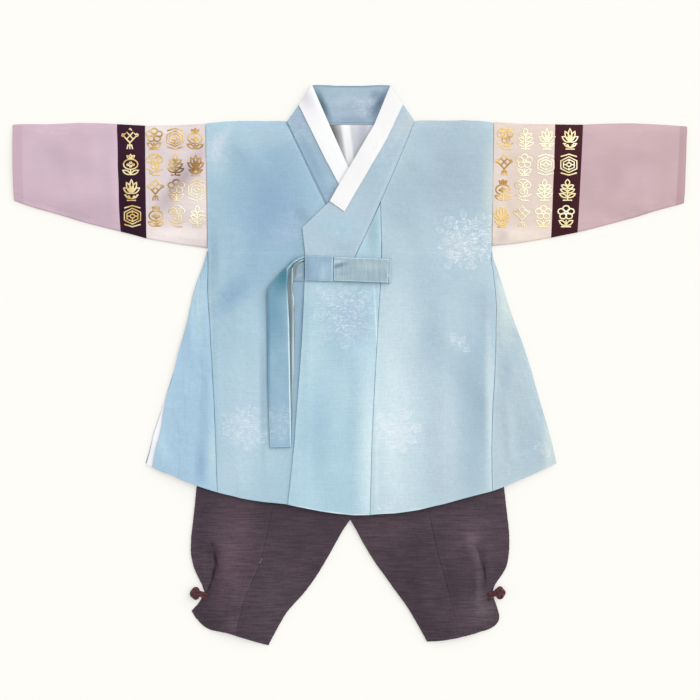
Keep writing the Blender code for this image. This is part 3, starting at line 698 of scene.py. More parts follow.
@dataclass(frozen=True)
class Woven:
    """A woven cloth: its two colours, its threads and the motifs that are woven in.

    The two colours show by turns in soft clouds, under patches of painted light and shade and under the stripes.
    Threads and slubs run across, along x.
    """

    MOTIF_ROOM: ClassVar[float] = 1.15
    MOTIF_GLEAM: ClassVar[float] = 0.14
    EDGE: ClassVar[tuple[float, float]] = (0.2, 1.1)

    name: str
    look_a: Look
    look_b: Look
    slub: float = 0.05
    slub_high: float = 0.8
    slub_long: float = 22.0
    weave: float = 0.22
    rib: float = 0.0
    rib_wide: float = 1.1
    cloud: float = 0.015
    cloud_size: float = 70.0
    thread: float = 0.6
    relief: float = 0.12
    roughness: float = 0.62
    sheen: float = 0.12
    gloss: float = 0.3
    # How dark the painted shade on the very edge is, and how bright the painted highlight on the crest of the roll.
    edge_shade: float = 0.02
    crest_highlight: float = 0.03
    crest_from: float = 0.8
    crest_to: float = 4.0
    bands: tuple[Band, ...] = ()
    # Soft patches of painted light and painted shade over the cloth.
    painted_light: tuple[PaintedLight, ...] = ()
    motif_look: Look = (230, 238, 247)
    motif_strength: float = 0.55
    motifs: tuple[Motif, ...] = ()

    def woven_in(self, graph: Graph) -> Socket | None:
        """Lays the piece's motifs on it.

        Args:
            graph: The graph to draw on.

        Returns:
            How strong the motifs show, or None where there are none.
        """
        masks = []
        for kind in MotifKind:
            seen: Socket | None = None
            faded: Socket | float = 1.0
            for motif in (m for m in self.motifs if m.kind is kind):
                size = motif.reach * MM
                near = graph.place((motif.x * MM, motif.y * MM, 0), motif.turn, (size, size, 1))
                close = graph.math("LESS_THAN", graph.reach(near), self.MOTIF_ROOM)
                faded = graph.math("MULTIPLY", faded, graph.math("MULTIPLY_ADD", close, motif.share - 1.0, 1.0))
                seen = near if seen is None else graph.switch(close, seen, near)
            if seen is not None:
                masks.append(graph.math("MULTIPLY", ART.stamp(graph, kind.value, seen), faded))
        return graph.most(*masks) if masks else None

    def material(self) -> Material:
        """Mixes the finish.

        Returns:
            The finished material.
        """
        graph = Finish(self.name)
        clouds = graph.noise((self.cloud_size,) * 3, 2.0, shift=0.31)
        slubs = graph.noise((self.slub_long, self.slub_high, 8), 3.0, shift=0.17)
        threads = graph.noise((5, self.thread, 4), 1.0, shift=0.53)
        crossing = graph.noise((self.thread, 6, 4), 1.0, shift=0.71)
        colour = graph.mix(graph.rise(clouds, 0.35, 0.65), dye(self.look_a), dye(self.look_b))
        # The patches of painted light and shade go on first, then the stripes.
        for layer in (*self.painted_light, *self.bands):
            colour = layer.lay(graph, colour)
        gleam = graph.rise(slubs, 0.3, 0.7, self.roughness - 0.06, self.roughness + 0.06)
        mask = self.woven_in(graph)
        if mask is not None:
            mask = graph.math("MULTIPLY", mask, graph.rise(graph.math("ADD", threads, crossing), 0.8, 1.2, 0.3, 1.3))
            fading = graph.noise((4.5, 4.5, 9), 1.0, shift=0.37)
            mask = graph.math("MULTIPLY", mask, graph.rise(fading, 0.38, 0.62, 0.35, 1.25))
            colour = graph.mix(graph.math("MULTIPLY", mask, self.motif_strength), colour, dye(self.motif_look))
            gleam = graph.math("MULTIPLY_ADD", mask, -self.MOTIF_GLEAM, gleam)
        tone = graph.sway(slubs, self.slub, 1.0)
        tone = graph.math("MULTIPLY_ADD", graph.math("SUBTRACT", threads, crossing), self.weave, tone)
        if self.rib:
            tone = graph.sway(graph.noise((self.rib_wide, 16, 8), 1.0, shift=0.93), self.rib, tone)
        tone = graph.sway(clouds, self.cloud, tone)
        height = graph.math("ADD", graph.math("MULTIPLY", slubs, 0.5), graph.math("ADD", threads, crossing))
        graph.emboss(height, 0.35, self.relief)
        graph.fill(graph.shader, {
            "Base Color": graph.dim(colour, self.along_edge(graph, tone)),
            "Roughness": gleam,
            "Specular IOR Level": self.gloss,
            "Sheen Weight": self.sheen,
            "Sheen Roughness": 0.4,
        })
        return graph.made

    def along_edge(self, graph: Graph, tone: Socket) -> Socket:
        """Paints shade on the very edge of a piece and a highlight on the crest of its roll.

        Args:
            graph: The graph to draw on.
            tone: How bright the cloth is.

        Returns:
            How bright it is with its edge.
        """
        edge = graph.add("ShaderNodeAttribute", attribute_name="from_edge").outputs["Fac"]
        thin, wide = (size * MM for size in self.EDGE)
        tone = graph.math("MULTIPLY", tone, graph.rise(edge, thin, wide, 1.0 - self.edge_shade, 1.0))
        near, far = self.crest_from * MM, self.crest_to * MM
        fading = graph.rise(edge, (near + far) / 2, far, self.crest_highlight, 0.0)
        return graph.math("ADD", tone, graph.math("MULTIPLY", graph.rise(edge, near * 0.5, near), fading))


@dataclass(frozen=True)
class Gilding:
    """Gold leaf pressed on silk, with painted reflection and painted shade: its bright look and its shaded look are
    mixed in soft patches, with patches of painted light and shade over them.
    """

    name: str
    bright: Look
    shade: Look
    shift: float = 0.0
    painted_light: tuple[PaintedLight, ...] = ()

    def material(self) -> Material:
        """Mixes the finish.

        Returns:
            The finished material.
        """
        graph = Finish(self.name)
        turns = graph.noise((15, 12, 9), 3.0, self.shift)
        grain = graph.noise((0.9, 0.7, 1), 2.0, shift=0.4)
        # Soft patches choose between the lit and the shaded look: painted reflection and painted shade on the leaf.
        colour = graph.mix(graph.rise(turns, 0.4, 0.62), dye(self.bright), dye(self.shade))
        for light_patch in self.painted_light:
            colour = light_patch.lay(graph, colour)
        graph.emboss(grain, 0.5, 0.1)
        graph.fill(graph.shader, {
            "Base Color": graph.dim(colour, graph.math("MULTIPLY_ADD", grain, 0.5, 0.8)),
            "Roughness": graph.rise(grain, 0.3, 0.7, 0.28, 0.48),
            "Metallic": 0.4,
        })
        return graph.made


# ---------------------------------------------------------------- how the cloth lies


@dataclass(frozen=True)
class Crease:
    """One soft ridge, or a trough where its height is below 0, drawn from end to end."""

    ENDS: ClassVar[float] = 0.04
    SPREAD: ClassVar[float] = 0.55

    x0: float
    drop0: float
    x1: float
    drop1: float
    width: float
    height: float

    def lift(self, x: np.ndarray, drop: np.ndarray) -> np.ndarray:
        """Works out how far it lifts the cloth.

        Args:
            x: Places across in millimetres.
            drop: Places down in millimetres.

        Returns:
            The lift in millimetres at each place.
        """
        run = np.array([self.x1 - self.x0, self.drop1 - self.drop0])
        length = float(run @ run)
        share = np.clip(((x - self.x0) * run[0] + (drop - self.drop0) * run[1]) / length, 0.0, 1.0)
        apart = np.hypot(x - self.x0 - share * run[0], drop - self.drop0 - share * run[1])
        fade = np.sin(np.pi * np.clip(share, self.ENDS, 1.0 - self.ENDS)) ** 0.5
        return self.height * fade * np.exp(-((apart / (self.SPREAD * self.width)) ** 2))


@dataclass(frozen=True)
class Nudge:
    """A small soft pull along the table: its middle and reach, and how far it moves the cloth."""

    x: float
    drop: float
    reach: float
    across: float
    down: float

    def pull(self, points: np.ndarray) -> None:
        """Moves the points near the middle.

        Args:
            points: One row of x, y and z in metres for each point, changed in place.
        """
        apart = np.hypot(points[:, 0] / MM - self.x, SHOULDER - points[:, 1] / MM - self.drop)
        share = 1.0 - soft_step(apart, 0.0, self.reach)
        points[:, 0] += share * self.across * MM
        points[:, 1] -= share * self.down * MM


@dataclass
class Drape:
    """How the whole set lies: listed creases and a slight unevenness, the same through all layers.

    It only ever lifts a higher layer at least as far as the one below, so layers that lie clear stay clear.
    """

    floor_stays: float = 1.1
    top_moves: float = 3.0
    uneven: float = 0.13
    depth: float = 2.0
    deepest: float = -0.55
    creases: tuple[Crease, ...] = tuple(Crease(*row) for row in (
        (-34, 66, -62, 92, 15, 0.7), (-62, 60, -92, 150, 26, 0.8), (-118, 10, -88, 62, 20, 0.6),
        (-88, 118, -118, 214, 24, 0.9), (-96, 240, -84, 330, 30, 0.8), (-142, 230, -150, 330, 14, 0.6),
        (-60, 330, -52, 400, 20, 0.6), (-120, 352, -108, 404, 18, 0.7), (-136, 120, -140, 180, 12, 0.5),
        (44, 20, 92, 60, 22, 0.6), (60, 96, 118, 116, 24, 0.7), (52, 210, 84, 262, 28, 0.8),
        (88, 150, 108, 246, 26, 0.7), (60, 300, 70, 392, 26, 0.7), (122, 300, 132, 380, 20, 0.6),
        (140, 120, 132, 190, 12, 0.5), (142, 260, 146, 350, 12, 0.5), (34, 330, 44, 404, 18, 0.5),
        (-20, 200, 8, 262, 26, 0.5), (-14, 282, -22, 380, 22, 0.55), (10, 250, 12, 372, 20, 0.5),
        (-206, 330, -188, 372, 14, 0.6), (-172, 190, -166, 240, 10, 0.6), (176, 200, 186, 262, 14, 0.6),
        (190, 300, 204, 360, 16, 0.6), (164, 300, 170, 366, 10, 0.5), (-330, 18, -262, 44, 22, 0.8),
        (-334, 72, -270, 92, 18, 0.6), (-300, 26, -286, 92, 18, 0.6), (-252, 16, -248, 100, 12, 0.5),
        (268, 20, 330, 40, 22, 0.8), (262, 84, 322, 96, 18, 0.6), (290, 30, 282, 92, 20, 0.6),
        (-206, 20, -170, 48, 16, 0.6), (-200, 70, -168, 104, 16, 0.6), (160, 26, 206, 40, 16, 0.6),
        (164, 92, 200, 84, 16, 0.5), (-230, 10, -229, 106, 14, 0.4), (229, 10, 230, 106, 14, 0.4),
        (104, 436, 112, 500, 14, 0.8), (72, 440, 80, 520, 16, 0.7), (40, 430, 60, 486, 16, 0.6),
        (-40, 430, -64, 486, 16, 0.6), (-96, 430, -92, 480, 14, 0.7), (-84, 490, -100, 532, 14, 0.6),
        (-120, 470, -128, 520, 10, 0.7), (118, 500, 106, 536, 10, 0.7),
    ))
    waves: tuple[tuple[float, float, float, float], ...] = (
        (0.061, 0.027, 0.4, 1.0), (-0.038, 0.066, 1.9, 0.8), (0.092, -0.051, 2.7, 0.6), (0.021, 0.104, 5.2, 0.5),
        (0.133, 0.071, 0.9, 0.35), (-0.118, 0.122, 3.6, 0.3),
    )
    pulls: tuple[Nudge, ...] = tuple(Nudge(*row) for row in (
        (0, -40, 56, 0, -1.4), (137, -4, 46, 0, -2.3), (84, -4, 50, 0, -1.5), (-137, -4, 46, 0, -1.2),
        (-95, -4, 40, 0, -0.9), (-262, -2, 60, 0, -1.2), (283, -2, 60, 0, -1.1), (330, -2, 40, 0, -0.8),
        (-168, 187, 46, -1.5, 0), (-182, 240, 40, -1.3, 0), (-207, 334, 44, -1.8, 0), (164, 187, 44, 1.3, 0),
        (183, 240, 40, 0.7, 0), (210, 334, 44, 1.2, 0), (157, 384, 46, 0, 2.2), (115, 396, 40, 0, 0.8),
        (-158, 383, 40, 0, 0.8), (0, 410, 70, 0, -0.9), (166, 445, 46, 1.8, 0), (157, 518, 40, 2.6, -0.3),
        (60, 513, 30, 0.3, 0), (-33, -38, 24, -0.3, -1.1), (33, -38, 24, 0.2, -1.1), (-23, 455, 34, 0.9, 0),
        (160.5, 471, 26, 1.6, 0), (154, 521, 14, 1.0, 0), (-84, 399, 60, 0, -0.7), (31, 411, 20, 0, -0.5),
        (325, 97, 26, 0, -0.6), (-193, 285, 40, -1.2, 0), (-356, 60, 120, -2.0, 0), (356, 70, 70, 0.75, 0),
        (-336, 90, 30, 0, 1.0), (-262, 112, 80, 0, 0.65), (-210, 124, 26, 0, 0.5), (178, 128, 34, 0, 1.0),
        (215, 118, 60, 0, 0.6), (262, 110, 40, 0, 0.5), (-166, 176, 34, -0.9, 0), (-178, 232, 40, -0.6, 0),
        (150, 145, 14, -1.4, 0), (192, 370, 30, 0, 1.2), (94, 548, 30, 0, 1.9), (130, 541, 30, 0, 1.5),
        (149, 530, 16, 1.6, 1.0), (-40, 478, 60, 1.7, 0), (-15, 440, 28, 0.6, 0), (-77, 528, 20, 1.2, 0),
        (-118, 396, 18, 0, -0.6), (27, 462, 60, -1.9, 0), (50, 500, 34, -0.7, 0), (70, 530, 18, -0.6, 0),
        (163, 398, 44, 0.9, 0), (154, 514, 10, -0.9, 0), (-90, 548, 24, 0, 1.4), (-118, 541, 30, 0, 1.4),
        (-246, 8, 30, -0.7, 0), (-246, 48, 30, -0.7, 0), (-246, 88, 30, -0.7, 0), (-74, 0, 14, 0, -0.6),
        (354, 8, 18, 0.6, 0), (-340, 2, 20, 0, -0.4),
    ))

    def lift(self, points: np.ndarray) -> np.ndarray:
        """Works out how far the top layer lifts at each point.

        Args:
            points: One row of x, y and z in metres for each point.

        Returns:
            The lift in metres.
        """
        x, drop = points[:, 0] / MM, SHOULDER - points[:, 1] / MM
        total = self.depth * sum(crease.lift(x, drop) for crease in self.creases)
        for across, down, start, share in self.waves:
            total = total + self.uneven * share * np.sin(across * x + down * drop + start)
        return np.maximum(total, self.deepest) * MM

    def settle(self, piece: Piece) -> None:
        """Lays a piece as the rest of the set lies.

        Args:
            piece: The piece to lay.
        """
        points = places(piece)
        share = soft_step(points[:, 2], self.floor_stays * MM, self.top_moves * MM)
        points[:, 2] += self.lift(points) * share
        for pull in self.pulls:
            pull.pull(points)
        put(piece, points)


# ---------------------------------------------------------------- cloth pieces


@dataclass
class Cloth:
    """One cut piece of cloth: its solid, its finish and the size in metres that it was cut to."""

    STEEP: ClassVar[float] = 0.7
    UPRIGHT: ClassVar[float] = 0.5
    LEVEL: ClassVar[float] = 0.8
    LAYERS_APART: ClassVar[float] = 2.0
    SPOT_GRID: ClassVar[float] = 0.4
    PULL_FADES: ClassVar[float] = 9.0
    CREASE_STARTS: ClassVar[float] = 4.0
    FLOOR_STAYS: ClassVar[float] = 1.05
    TOP_MOVES: ClassVar[float] = 2.2

    node: str
    finish: Woven
    slot: str
    flat: tuple[float, float]
    area: float
    rests_on: str = "floor"
    cell: float = 6.0
    rim: float = 0.24
    roll: float = 0.3
    roll_width: float = 5.0
    smoothing: int = 26
    own: tuple[Crease, ...] = ()
    nudges: tuple[Nudge, ...] = ()
    rounded: float = 0.0
    sharp: float = 0.27
    slide: float = 0.0
    piece: Piece | None = None

    def copy_solid(self) -> None:
        """Copies the solid's mesh as one joined skin."""
        mesh = FRAME["nodes"][self.node].data.copy()
        mesh.materials.clear()
        self.piece = add_object(f"{self.node}_cloth", mesh)
        pick(self.piece)
        bpy.ops.mesh.customdata_custom_splitnormals_clear()
        with opened(self.piece):
            bpy.ops.mesh.remove_doubles(threshold=0.002 * MM)

    def round_rim(self) -> None:
        """Rounds the cut edges."""
        finish_with(
            self.piece, "BEVEL", width=self.rim * MM, segments=2, limit_method="ANGLE",
            angle_limit=math.radians(55), use_clamp_overlap=True,
        )

    def cut_cells(self) -> None:
        """Cuts the skin into small cells, so that it can bend."""
        low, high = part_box(self.node)
        lines = [((a * self.cell * MM, 0, 0), (1, 0, 0)) for a in self.steps(low.x, high.x)]
        lines += [((0, a * self.cell * MM, 0), (0, 1, 0)) for a in self.steps(low.y, high.y)]
        with opened(self.piece):
            for place, across in lines:
                bpy.ops.mesh.bisect(plane_co=place, plane_no=across, threshold=0.05 * MM)
                bpy.ops.mesh.select_all(action="SELECT")
            bpy.ops.mesh.dissolve_degenerate(threshold=0.02 * MM)
        finish_with(self.piece, "SUBSURF", subdivision_type="SIMPLE", levels=1, render_levels=1)

    def rim_spots(self, points: np.ndarray) -> np.ndarray:
        """Spaces points evenly along the cut edges.

        Args:
            points: The skin's points in metres.

        Returns:
            One row of x, y and z for each spot, with z stretched to hold the layers apart.
        """
        faces = zip(self.piece.data.polygons, facing(self.piece))
        steep = [face for face, up in faces if abs(up) < self.STEEP and face.area > SLIVER]
        pairs = {pair for face in steep for pair in face.edge_keys}
        first, second = points[[a for a, _ in pairs]], points[[b for _, b in pairs]]
        flat = np.linalg.norm((second - first)[:, :2], axis=1)
        along = (flat > 0.1 * MM) & (np.abs(second - first)[:, 2] < flat)
        shares = np.linspace(0.0, 1.0, 8)[:, None, None]
        spots = (first[along] + (second - first)[along] * shares).reshape(-1, 3) * (1.0, 1.0, self.LAYERS_APART)
        return np.unique(np.round(spots / (self.SPOT_GRID * MM)), axis=0) * self.SPOT_GRID * MM

    def round_outline(self) -> None:
        """Rounds the outline where it turns a little, and keeps its sharp corners."""
        points = places(self.piece)
        spots = self.rim_spots(points)
        reach = self.rounded * MM
        tree = tree_of(spots)
        near = [[index for _, index, _ in tree.find_range(spot, reach)] for spot in spots]
        moved = spots[:, :2].copy()
        means = np.array([moved[group].mean(0) for group in near])
        sharp = spots[np.linalg.norm(means - moved, axis=1) > self.sharp * reach] * (1.0, 1.0, 0.0)
        corners = tree_of(sharp)
        clear = np.array([corners.find((*spot, 0))[2] if len(sharp) else 1.0 for spot in moved])
        share = soft_step(clear, 0.7 * reach, 1.7 * reach)[:, None]
        for _ in range(3):
            moved += share * (np.array([moved[group].mean(0) for group in near]) - moved)
        for point in points:
            _, index, apart = tree.find((point[0], point[1], point[2] * self.LAYERS_APART))
            fading = float(soft_step(np.array(apart), MM, self.PULL_FADES * MM))
            point[:2] += (moved[index] - spots[index, :2]) * (1.0 - fading)
        put(self.piece, points)

    def steps(self, low: float, high: float) -> range:
        """Gives the numbers of the cell lines between two places in metres."""
        size = self.cell * MM
        return range(math.floor(low / size) + 1, math.ceil(high / size))

    def soften(self) -> None:
        """Takes the corners out of the folds, and leaves the cut edges where they are."""
        for looks_up in (1, -1):
            select_faces(self.piece, facing(self.piece) * looks_up > self.LEVEL)
            bpy.ops.mesh.select_less()
            bpy.ops.mesh.vertices_smooth(factor=0.5, repeat=self.smoothing, xaxis=False, yaxis=False, zaxis=True)
            bpy.ops.object.mode_set(mode="OBJECT")

    def mark_edges(self) -> None:
        """Notes on each point how far it is from the piece's cut edge, for the finish."""
        mesh = self.piece.data
        areas = np.empty(len(mesh.polygons), np.float32)
        mesh.polygons.foreach_get("area", areas)
        upright = (np.abs(facing(self.piece)) < self.UPRIGHT) & (areas > SLIVER)
        flat = places(self.piece) * (1.0, 1.0, 0.0)
        edges = {v for face in np.flatnonzero(upright) for v in mesh.polygons[int(face)].vertices}
        rim = tree_of(flat[sorted(edges)])
        apart = np.array([rim.find(point)[2] for point in flat], np.float32)
        mesh.attributes.new("from_edge", "FLOAT", "POINT").data.foreach_set("value", apart)

    def roll_edges(self) -> None:
        """Rolls the upper skin down a little towards the cut edges, and lays in the piece's own creases."""
        points = places(self.piece)
        normals = np.empty(points.size, np.float32)
        self.piece.data.vertices.foreach_get("normal", normals)
        apart = np.empty(len(points), np.float32)
        self.piece.data.attributes["from_edge"].data.foreach_get("value", apart)
        upper = soft_step(normals.reshape(-1, 3)[:, 2], 0.0, 0.3)
        points[:, 2] -= upper * self.roll * MM * (1.0 - soft_step(apart, 0.0, self.roll_width * MM))
        x, drop = points[:, 0] / MM, SHOULDER - points[:, 1] / MM
        inner = soft_step(apart, 0.0, self.CREASE_STARTS * MM)
        inner = inner * soft_step(points[:, 2], self.FLOOR_STAYS * MM, self.TOP_MOVES * MM)
        for crease in self.own:
            points[:, 2] += crease.lift(x, drop) * inner * MM
        put(self.piece, points)

    def make(self, drape: Drape) -> Piece:
        """Args:
            drape: How the set lies.

        Returns:
            The finished piece.
        """
        self.copy_solid()
        self.round_rim()
        self.cut_cells()
        if self.rounded:
            self.round_outline()
        points = places(self.piece)
        points[:, 0] += self.slide * MM
        for nudge in self.nudges:
            nudge.pull(points)
        put(self.piece, points)
        self.soften()
        drape.settle(self.piece)
        self.mark_edges()
        self.roll_edges()
        pick(self.piece)
        bpy.ops.object.shade_smooth()
        finish_with(self.piece, "WEIGHTED_NORMAL", keep_sharp=False)
        self.piece.data.materials.append(self.finish.material())
        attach(self.piece, "root")
        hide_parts(self.node)
        log.info("%s: %d faces", self.piece.name, len(self.piece.data.polygons))
        return self.piece


@dataclass
class Part:
    """One part of the set, made of cut pieces of cloth that lie as the whole set lies."""

    drape: Drape

    def pieces(self) -> list[Cloth]:
        """Lists the part's cut pieces from the table up."""
        raise NotImplementedError

    def make(self) -> list[Piece]:
        """Makes all pieces of the part."""
        return [cloth.make(self.drape) for cloth in self.pieces()]


@dataclass
class Jacket(Part):
    """The jacket's body: backs, fronts, gores, gussets, lining and collar, all cut and laid in layers."""

    right_blue: Look = (166, 197, 215)
    right_light: Look = (171, 202, 219)
    left_blue: Look = (179, 203, 216)
    left_light: Look = (185, 208, 219)

    def silk(
        self, name: str, first: Look, second: Look, motifs: tuple[Motif, ...] = (), painted_light: tuple[PaintedLight, ...] = (),
        bands: tuple[Band, ...] = (),
    ) -> Woven:
        """Weaves the blue figured silk in two close tones."""
        return Woven(name, first, second, motifs=motifs, painted_light=painted_light, bands=bands)

    def pieces(self) -> list[Cloth]:
        """Lists the cut pieces of the jacket's body from the table up."""
        return [*self.backs(), *self.fronts(), *self.collars()]

    def backs(self) -> list[Cloth]:
        """Lists the cut pieces of the back and the lining.

        Returns:
            The pieces from the table up.
        """
        bouquet, spray, flutter = MotifKind.BOUQUET, MotifKind.SPRAY, MotifKind.FLUTTER
        back = (Motif(bouquet, 76, 150, 32, 20), Motif(spray, 90, -60, 28, -30), Motif(flutter, 40, 40, 13, 0))
        back_r = (Motif(bouquet, -80, 120, 32, 160), Motif(spray, -60, -80, 28, 30), Motif(flutter, -110, 20, 13, 40))
        right, right_light, left, left_light = self.right_blue, self.right_light, self.left_blue, self.left_light
        # The lining's patches are painted shade in the neck opening, darkest beside the white strip and at its point.
        # Its bright stripe is the fold down the middle: partly the doubled cloth, partly painted light.
        lining = Woven(
            "lining_silk", (209, 212, 221), (216, 219, 227), slub=0.02, weave=0.03, cloud=0.03, cloud_size=26.0,
            roughness=0.5,
            painted_light=(
                PaintedLight(-19, 12, 15, 44, (100, 100, 90), 1.0, 14), PaintedLight(13, 10, 8, 30, (186, 190, 202), 0.9, -14),
                PaintedLight(-1, 42, 12, 18, (104, 104, 96), 0.75),
            ),
            bands=(Band(-3.3, 240, 8.6, (252, 252, 253), 97.5, 2.0, 0.92),),
        )
        gore_lining = Woven(
            "gore_lining_silk", (240, 243, 250), (246, 247, 252), slub=0.01, weave=0.02, edge_shade=0.0,
        )
        white = Woven(
            "white_silk_back", (250, 250, 252), (244, 246, 251), slub=0.012, weave=0.02, cloud=0.01, edge_shade=0.06,
            crest_highlight=0.0,
        )
        # The collar's patches are painted shade along its edges by the white strips and at its lower edge, with
        # painted light across its middle.
        collar = self.silk(
            "collar_silk_back", (162, 185, 204), (168, 190, 208), (Motif(bouquet, 14, 272, 12, 0, 0.55),),
            (
                PaintedLight(-29.5, -17, 32, 8, (78, 108, 122), 1.0, -67), PaintedLight(31, -20, 24, 7.5, (98, 120, 146), 1.0, 64),
                PaintedLight(0, -38, 70, 3.2, (110, 142, 160), 0.9), PaintedLight(-8, -22, 22, 9, (184, 205, 219), 0.7),
                PaintedLight(4, -2, 34, 7, (146, 168, 190), 0.8), PaintedLight(27, -28, 9, 9, (128, 144, 168), 0.7),
                PaintedLight(24, -11, 11, 12, (116, 134, 156), 0.7),
            ),
            (Band(0, 255.0, 0.5, (96, 124, 146), 0, 0.5), Band(0, 253.2, 0.4, (120, 146, 166), 0, 0.4)),
        )
        return [
            Cloth(
                "back_right", self.silk("back_silk_right", right, right_light, back_r), "blue_silk", (0.1517, 0.4137),
                0.059155, cell=11.0,
            ),
            Cloth(
                "back_left", self.silk("back_silk_left", left, left_light, back), "blue_silk", (0.1528, 0.4138),
                0.060949, cell=11.0,
            ),
            Cloth(
                "back_gore_right", self.silk("back_gore_silk_right", (150, 170, 190), (156, 176, 194)), "blue_silk",
                (0.0721, 0.2529), 0.009461, nudges=(Nudge(-204, 326, 34, -1.4, 0), Nudge(-215, 360, 26, -2.4, 0)),
            ),
            Cloth(
                "back_gore_left", self.silk("back_gore_silk_left", left, left_light), "blue_silk", (0.068, 0.2497),
                0.008581,
            ),
            Cloth("collar_strip_back", white, "white_strip", (0.0207, 0.0982), 0.0019, cell=4.0),
            Cloth(
                "collar_back", collar, "blue_silk", (0.0405, 0.116), 0.004098, "collar_strip_back_cloth", cell=3.0,
                own=(
                    Crease(-40, -36, -28, -4, 5, 0.7), Crease(38, -34, 30, -6, 5, 0.7),
                    Crease(-20, -28, 14, -20, 9, 0.6),
                ),
            ),
            Cloth("back_lining", lining, "lining", (0.3002, 0.4056), 0.113203, "back_left_cloth", cell=9.0),
            Cloth(
                "gore_lining_right", gore_lining, "lining", (0.0704, 0.188), 0.007783, "back_gore_right_cloth",
                nudges=(Nudge(-209, 356, 24, 0.2, 6.2), Nudge(-204, 326, 34, -1.1, 0), Nudge(-215, 360, 26, -3.2, 0)),
            ),
        ]

    def fronts(self) -> list[Cloth]:
        """Lists the cut pieces of the two fronts.

        Returns:
            The pieces from the table up.
        """
        bouquet, spray, flutter = MotifKind.BOUQUET, MotifKind.SPRAY, MotifKind.FLUTTER
        # The patches are painted light and shade: broad highlights and shaded hollows of the laid silk, and painted
        # shadow beside the tie's tails and along the gusset seam.
        front_right = self.silk(
            "front_silk_right", self.right_blue, self.right_light,
            (
                Motif(bouquet, -110.4, -66.9, 25, 12, 1.0), Motif(bouquet, -58, 146, 16, 200, 0.2),
                Motif(spray, -140, 228, 17, 20, 0.45),
            ),
            (
                PaintedLight(-84, 92, 70, 120, (144, 176, 203), 0.95), PaintedLight(-108, 315, 60, 150, (188, 213, 227), 0.9),
                PaintedLight(-143, 30, 22, 46, (192, 214, 228), 0.8, 10), PaintedLight(-96, 12, 60, 26, (186, 209, 224), 0.5),
                PaintedLight(-54.5, 240, 13, 190, (144, 176, 198), 0.9), PaintedLight(-91, 290, 6, 130, (150, 182, 202), 0.6),
                PaintedLight(-70, 118, 26, 18, (170, 188, 214), 0.3, 30), PaintedLight(-50, 100, 12, 16, (140, 166, 190), 0.6, 30),
                PaintedLight(-146.5, 270, 4, 150, (186, 214, 226), 0.6), PaintedLight(-118, 130, 16, 60, (176, 204, 222), 0.25, 15),
                PaintedLight(-121, 180, 44, 19, (142, 177, 205), 0.8, 45), PaintedLight(-143, 140, 10, 50, (150, 182, 205), 0.6),
                PaintedLight(-122, 374, 26, 34, (193, 217, 230), 0.6), PaintedLight(-50.5, 205, 3, 60, (118, 150, 184), 0.6, -3),
                PaintedLight(-136, 20, 30, 9, (206, 220, 232), 0.7, 58), PaintedLight(-92, 386, 40, 40, (172, 201, 218), 0.6),
            ),
        )
        # The patches are painted light and shade: broad highlights and shaded hollows of the laid silk, painted
        # highlights beside the seams and thin painted highlights along the hem edge.
        front_left = self.silk(
            "front_silk_left", self.left_blue, self.left_light,
            (
                Motif(spray, 50, -66, 25.5, 0, 2.6), Motif(bouquet, 127, 132, 34, 95, 1.2),
                Motif(flutter, 115, 22, 15, 0, 1.3), Motif(flutter, 40, -148, 11, 60, 1.3),
            ),
            (
                PaintedLight(112, 54, 66, 92, (166, 188, 202), 0.85), PaintedLight(58, 84, 40, 64, (166, 190, 204), 0.8),
                PaintedLight(46, 310, 50, 200, (215, 235, 244), 0.95), PaintedLight(130, 290, 30, 150, (158, 184, 202), 0.8),
                PaintedLight(84, 226, 22, 44, (166, 190, 206), 0.7), PaintedLight(142, 210, 16, 70, (160, 184, 200), 0.55),
                PaintedLight(100, 340, 30, 90, (200, 214, 226), 0.6), PaintedLight(145.5, 300, 7, 170, (204, 222, 230), 0.8),
                PaintedLight(147, 74, 12, 80, (203, 216, 214), 0.8), PaintedLight(27.5, 300, 4, 170, (216, 236, 243), 0.6),
                PaintedLight(116, 132, 30, 22, (202, 214, 222), 0.6), PaintedLight(37.1, 410.9, 18, 1.1, (232, 244, 250), 0.8, 5.1),
                PaintedLight(65.5, 407.4, 22, 1.1, (232, 244, 250), 0.6, 9.3),
            ),
        )
        # The patches are painted shade in the gore's crease and painted highlights on the cloth beside it.
        gore_right = self.silk(
            "gore_silk_right", (169, 201, 225), (174, 205, 227), (),
            (
                PaintedLight(-158.5, 362, 9, 42, (146, 178, 205), 0.85), PaintedLight(-144.5, 350, 8, 50, (190, 216, 225), 0.7),
                PaintedLight(-160, 190, 14, 70, (186, 216, 229), 0.8), PaintedLight(-196, 340, 16, 40, (180, 211, 226), 0.6),
            ),
        )
        # The patches are painted highlights and painted shade across the gore.
        gore_left = self.silk(
            "gore_silk_left", (181, 202, 213), (186, 206, 216), (Motif(flutter, 201.5, -89, 13, 0),),
            (
                PaintedLight(163, 190, 20, 66, (206, 222, 222), 0.85), PaintedLight(188, 334, 30, 58, (172, 195, 207), 0.8),
                PaintedLight(210, 340, 11, 90, (203, 217, 216), 0.8), PaintedLight(164, 262, 12, 40, (166, 190, 204), 0.8),
            ),
        )
        gusset_right = self.silk("gusset_silk_right", self.right_blue, self.right_light)
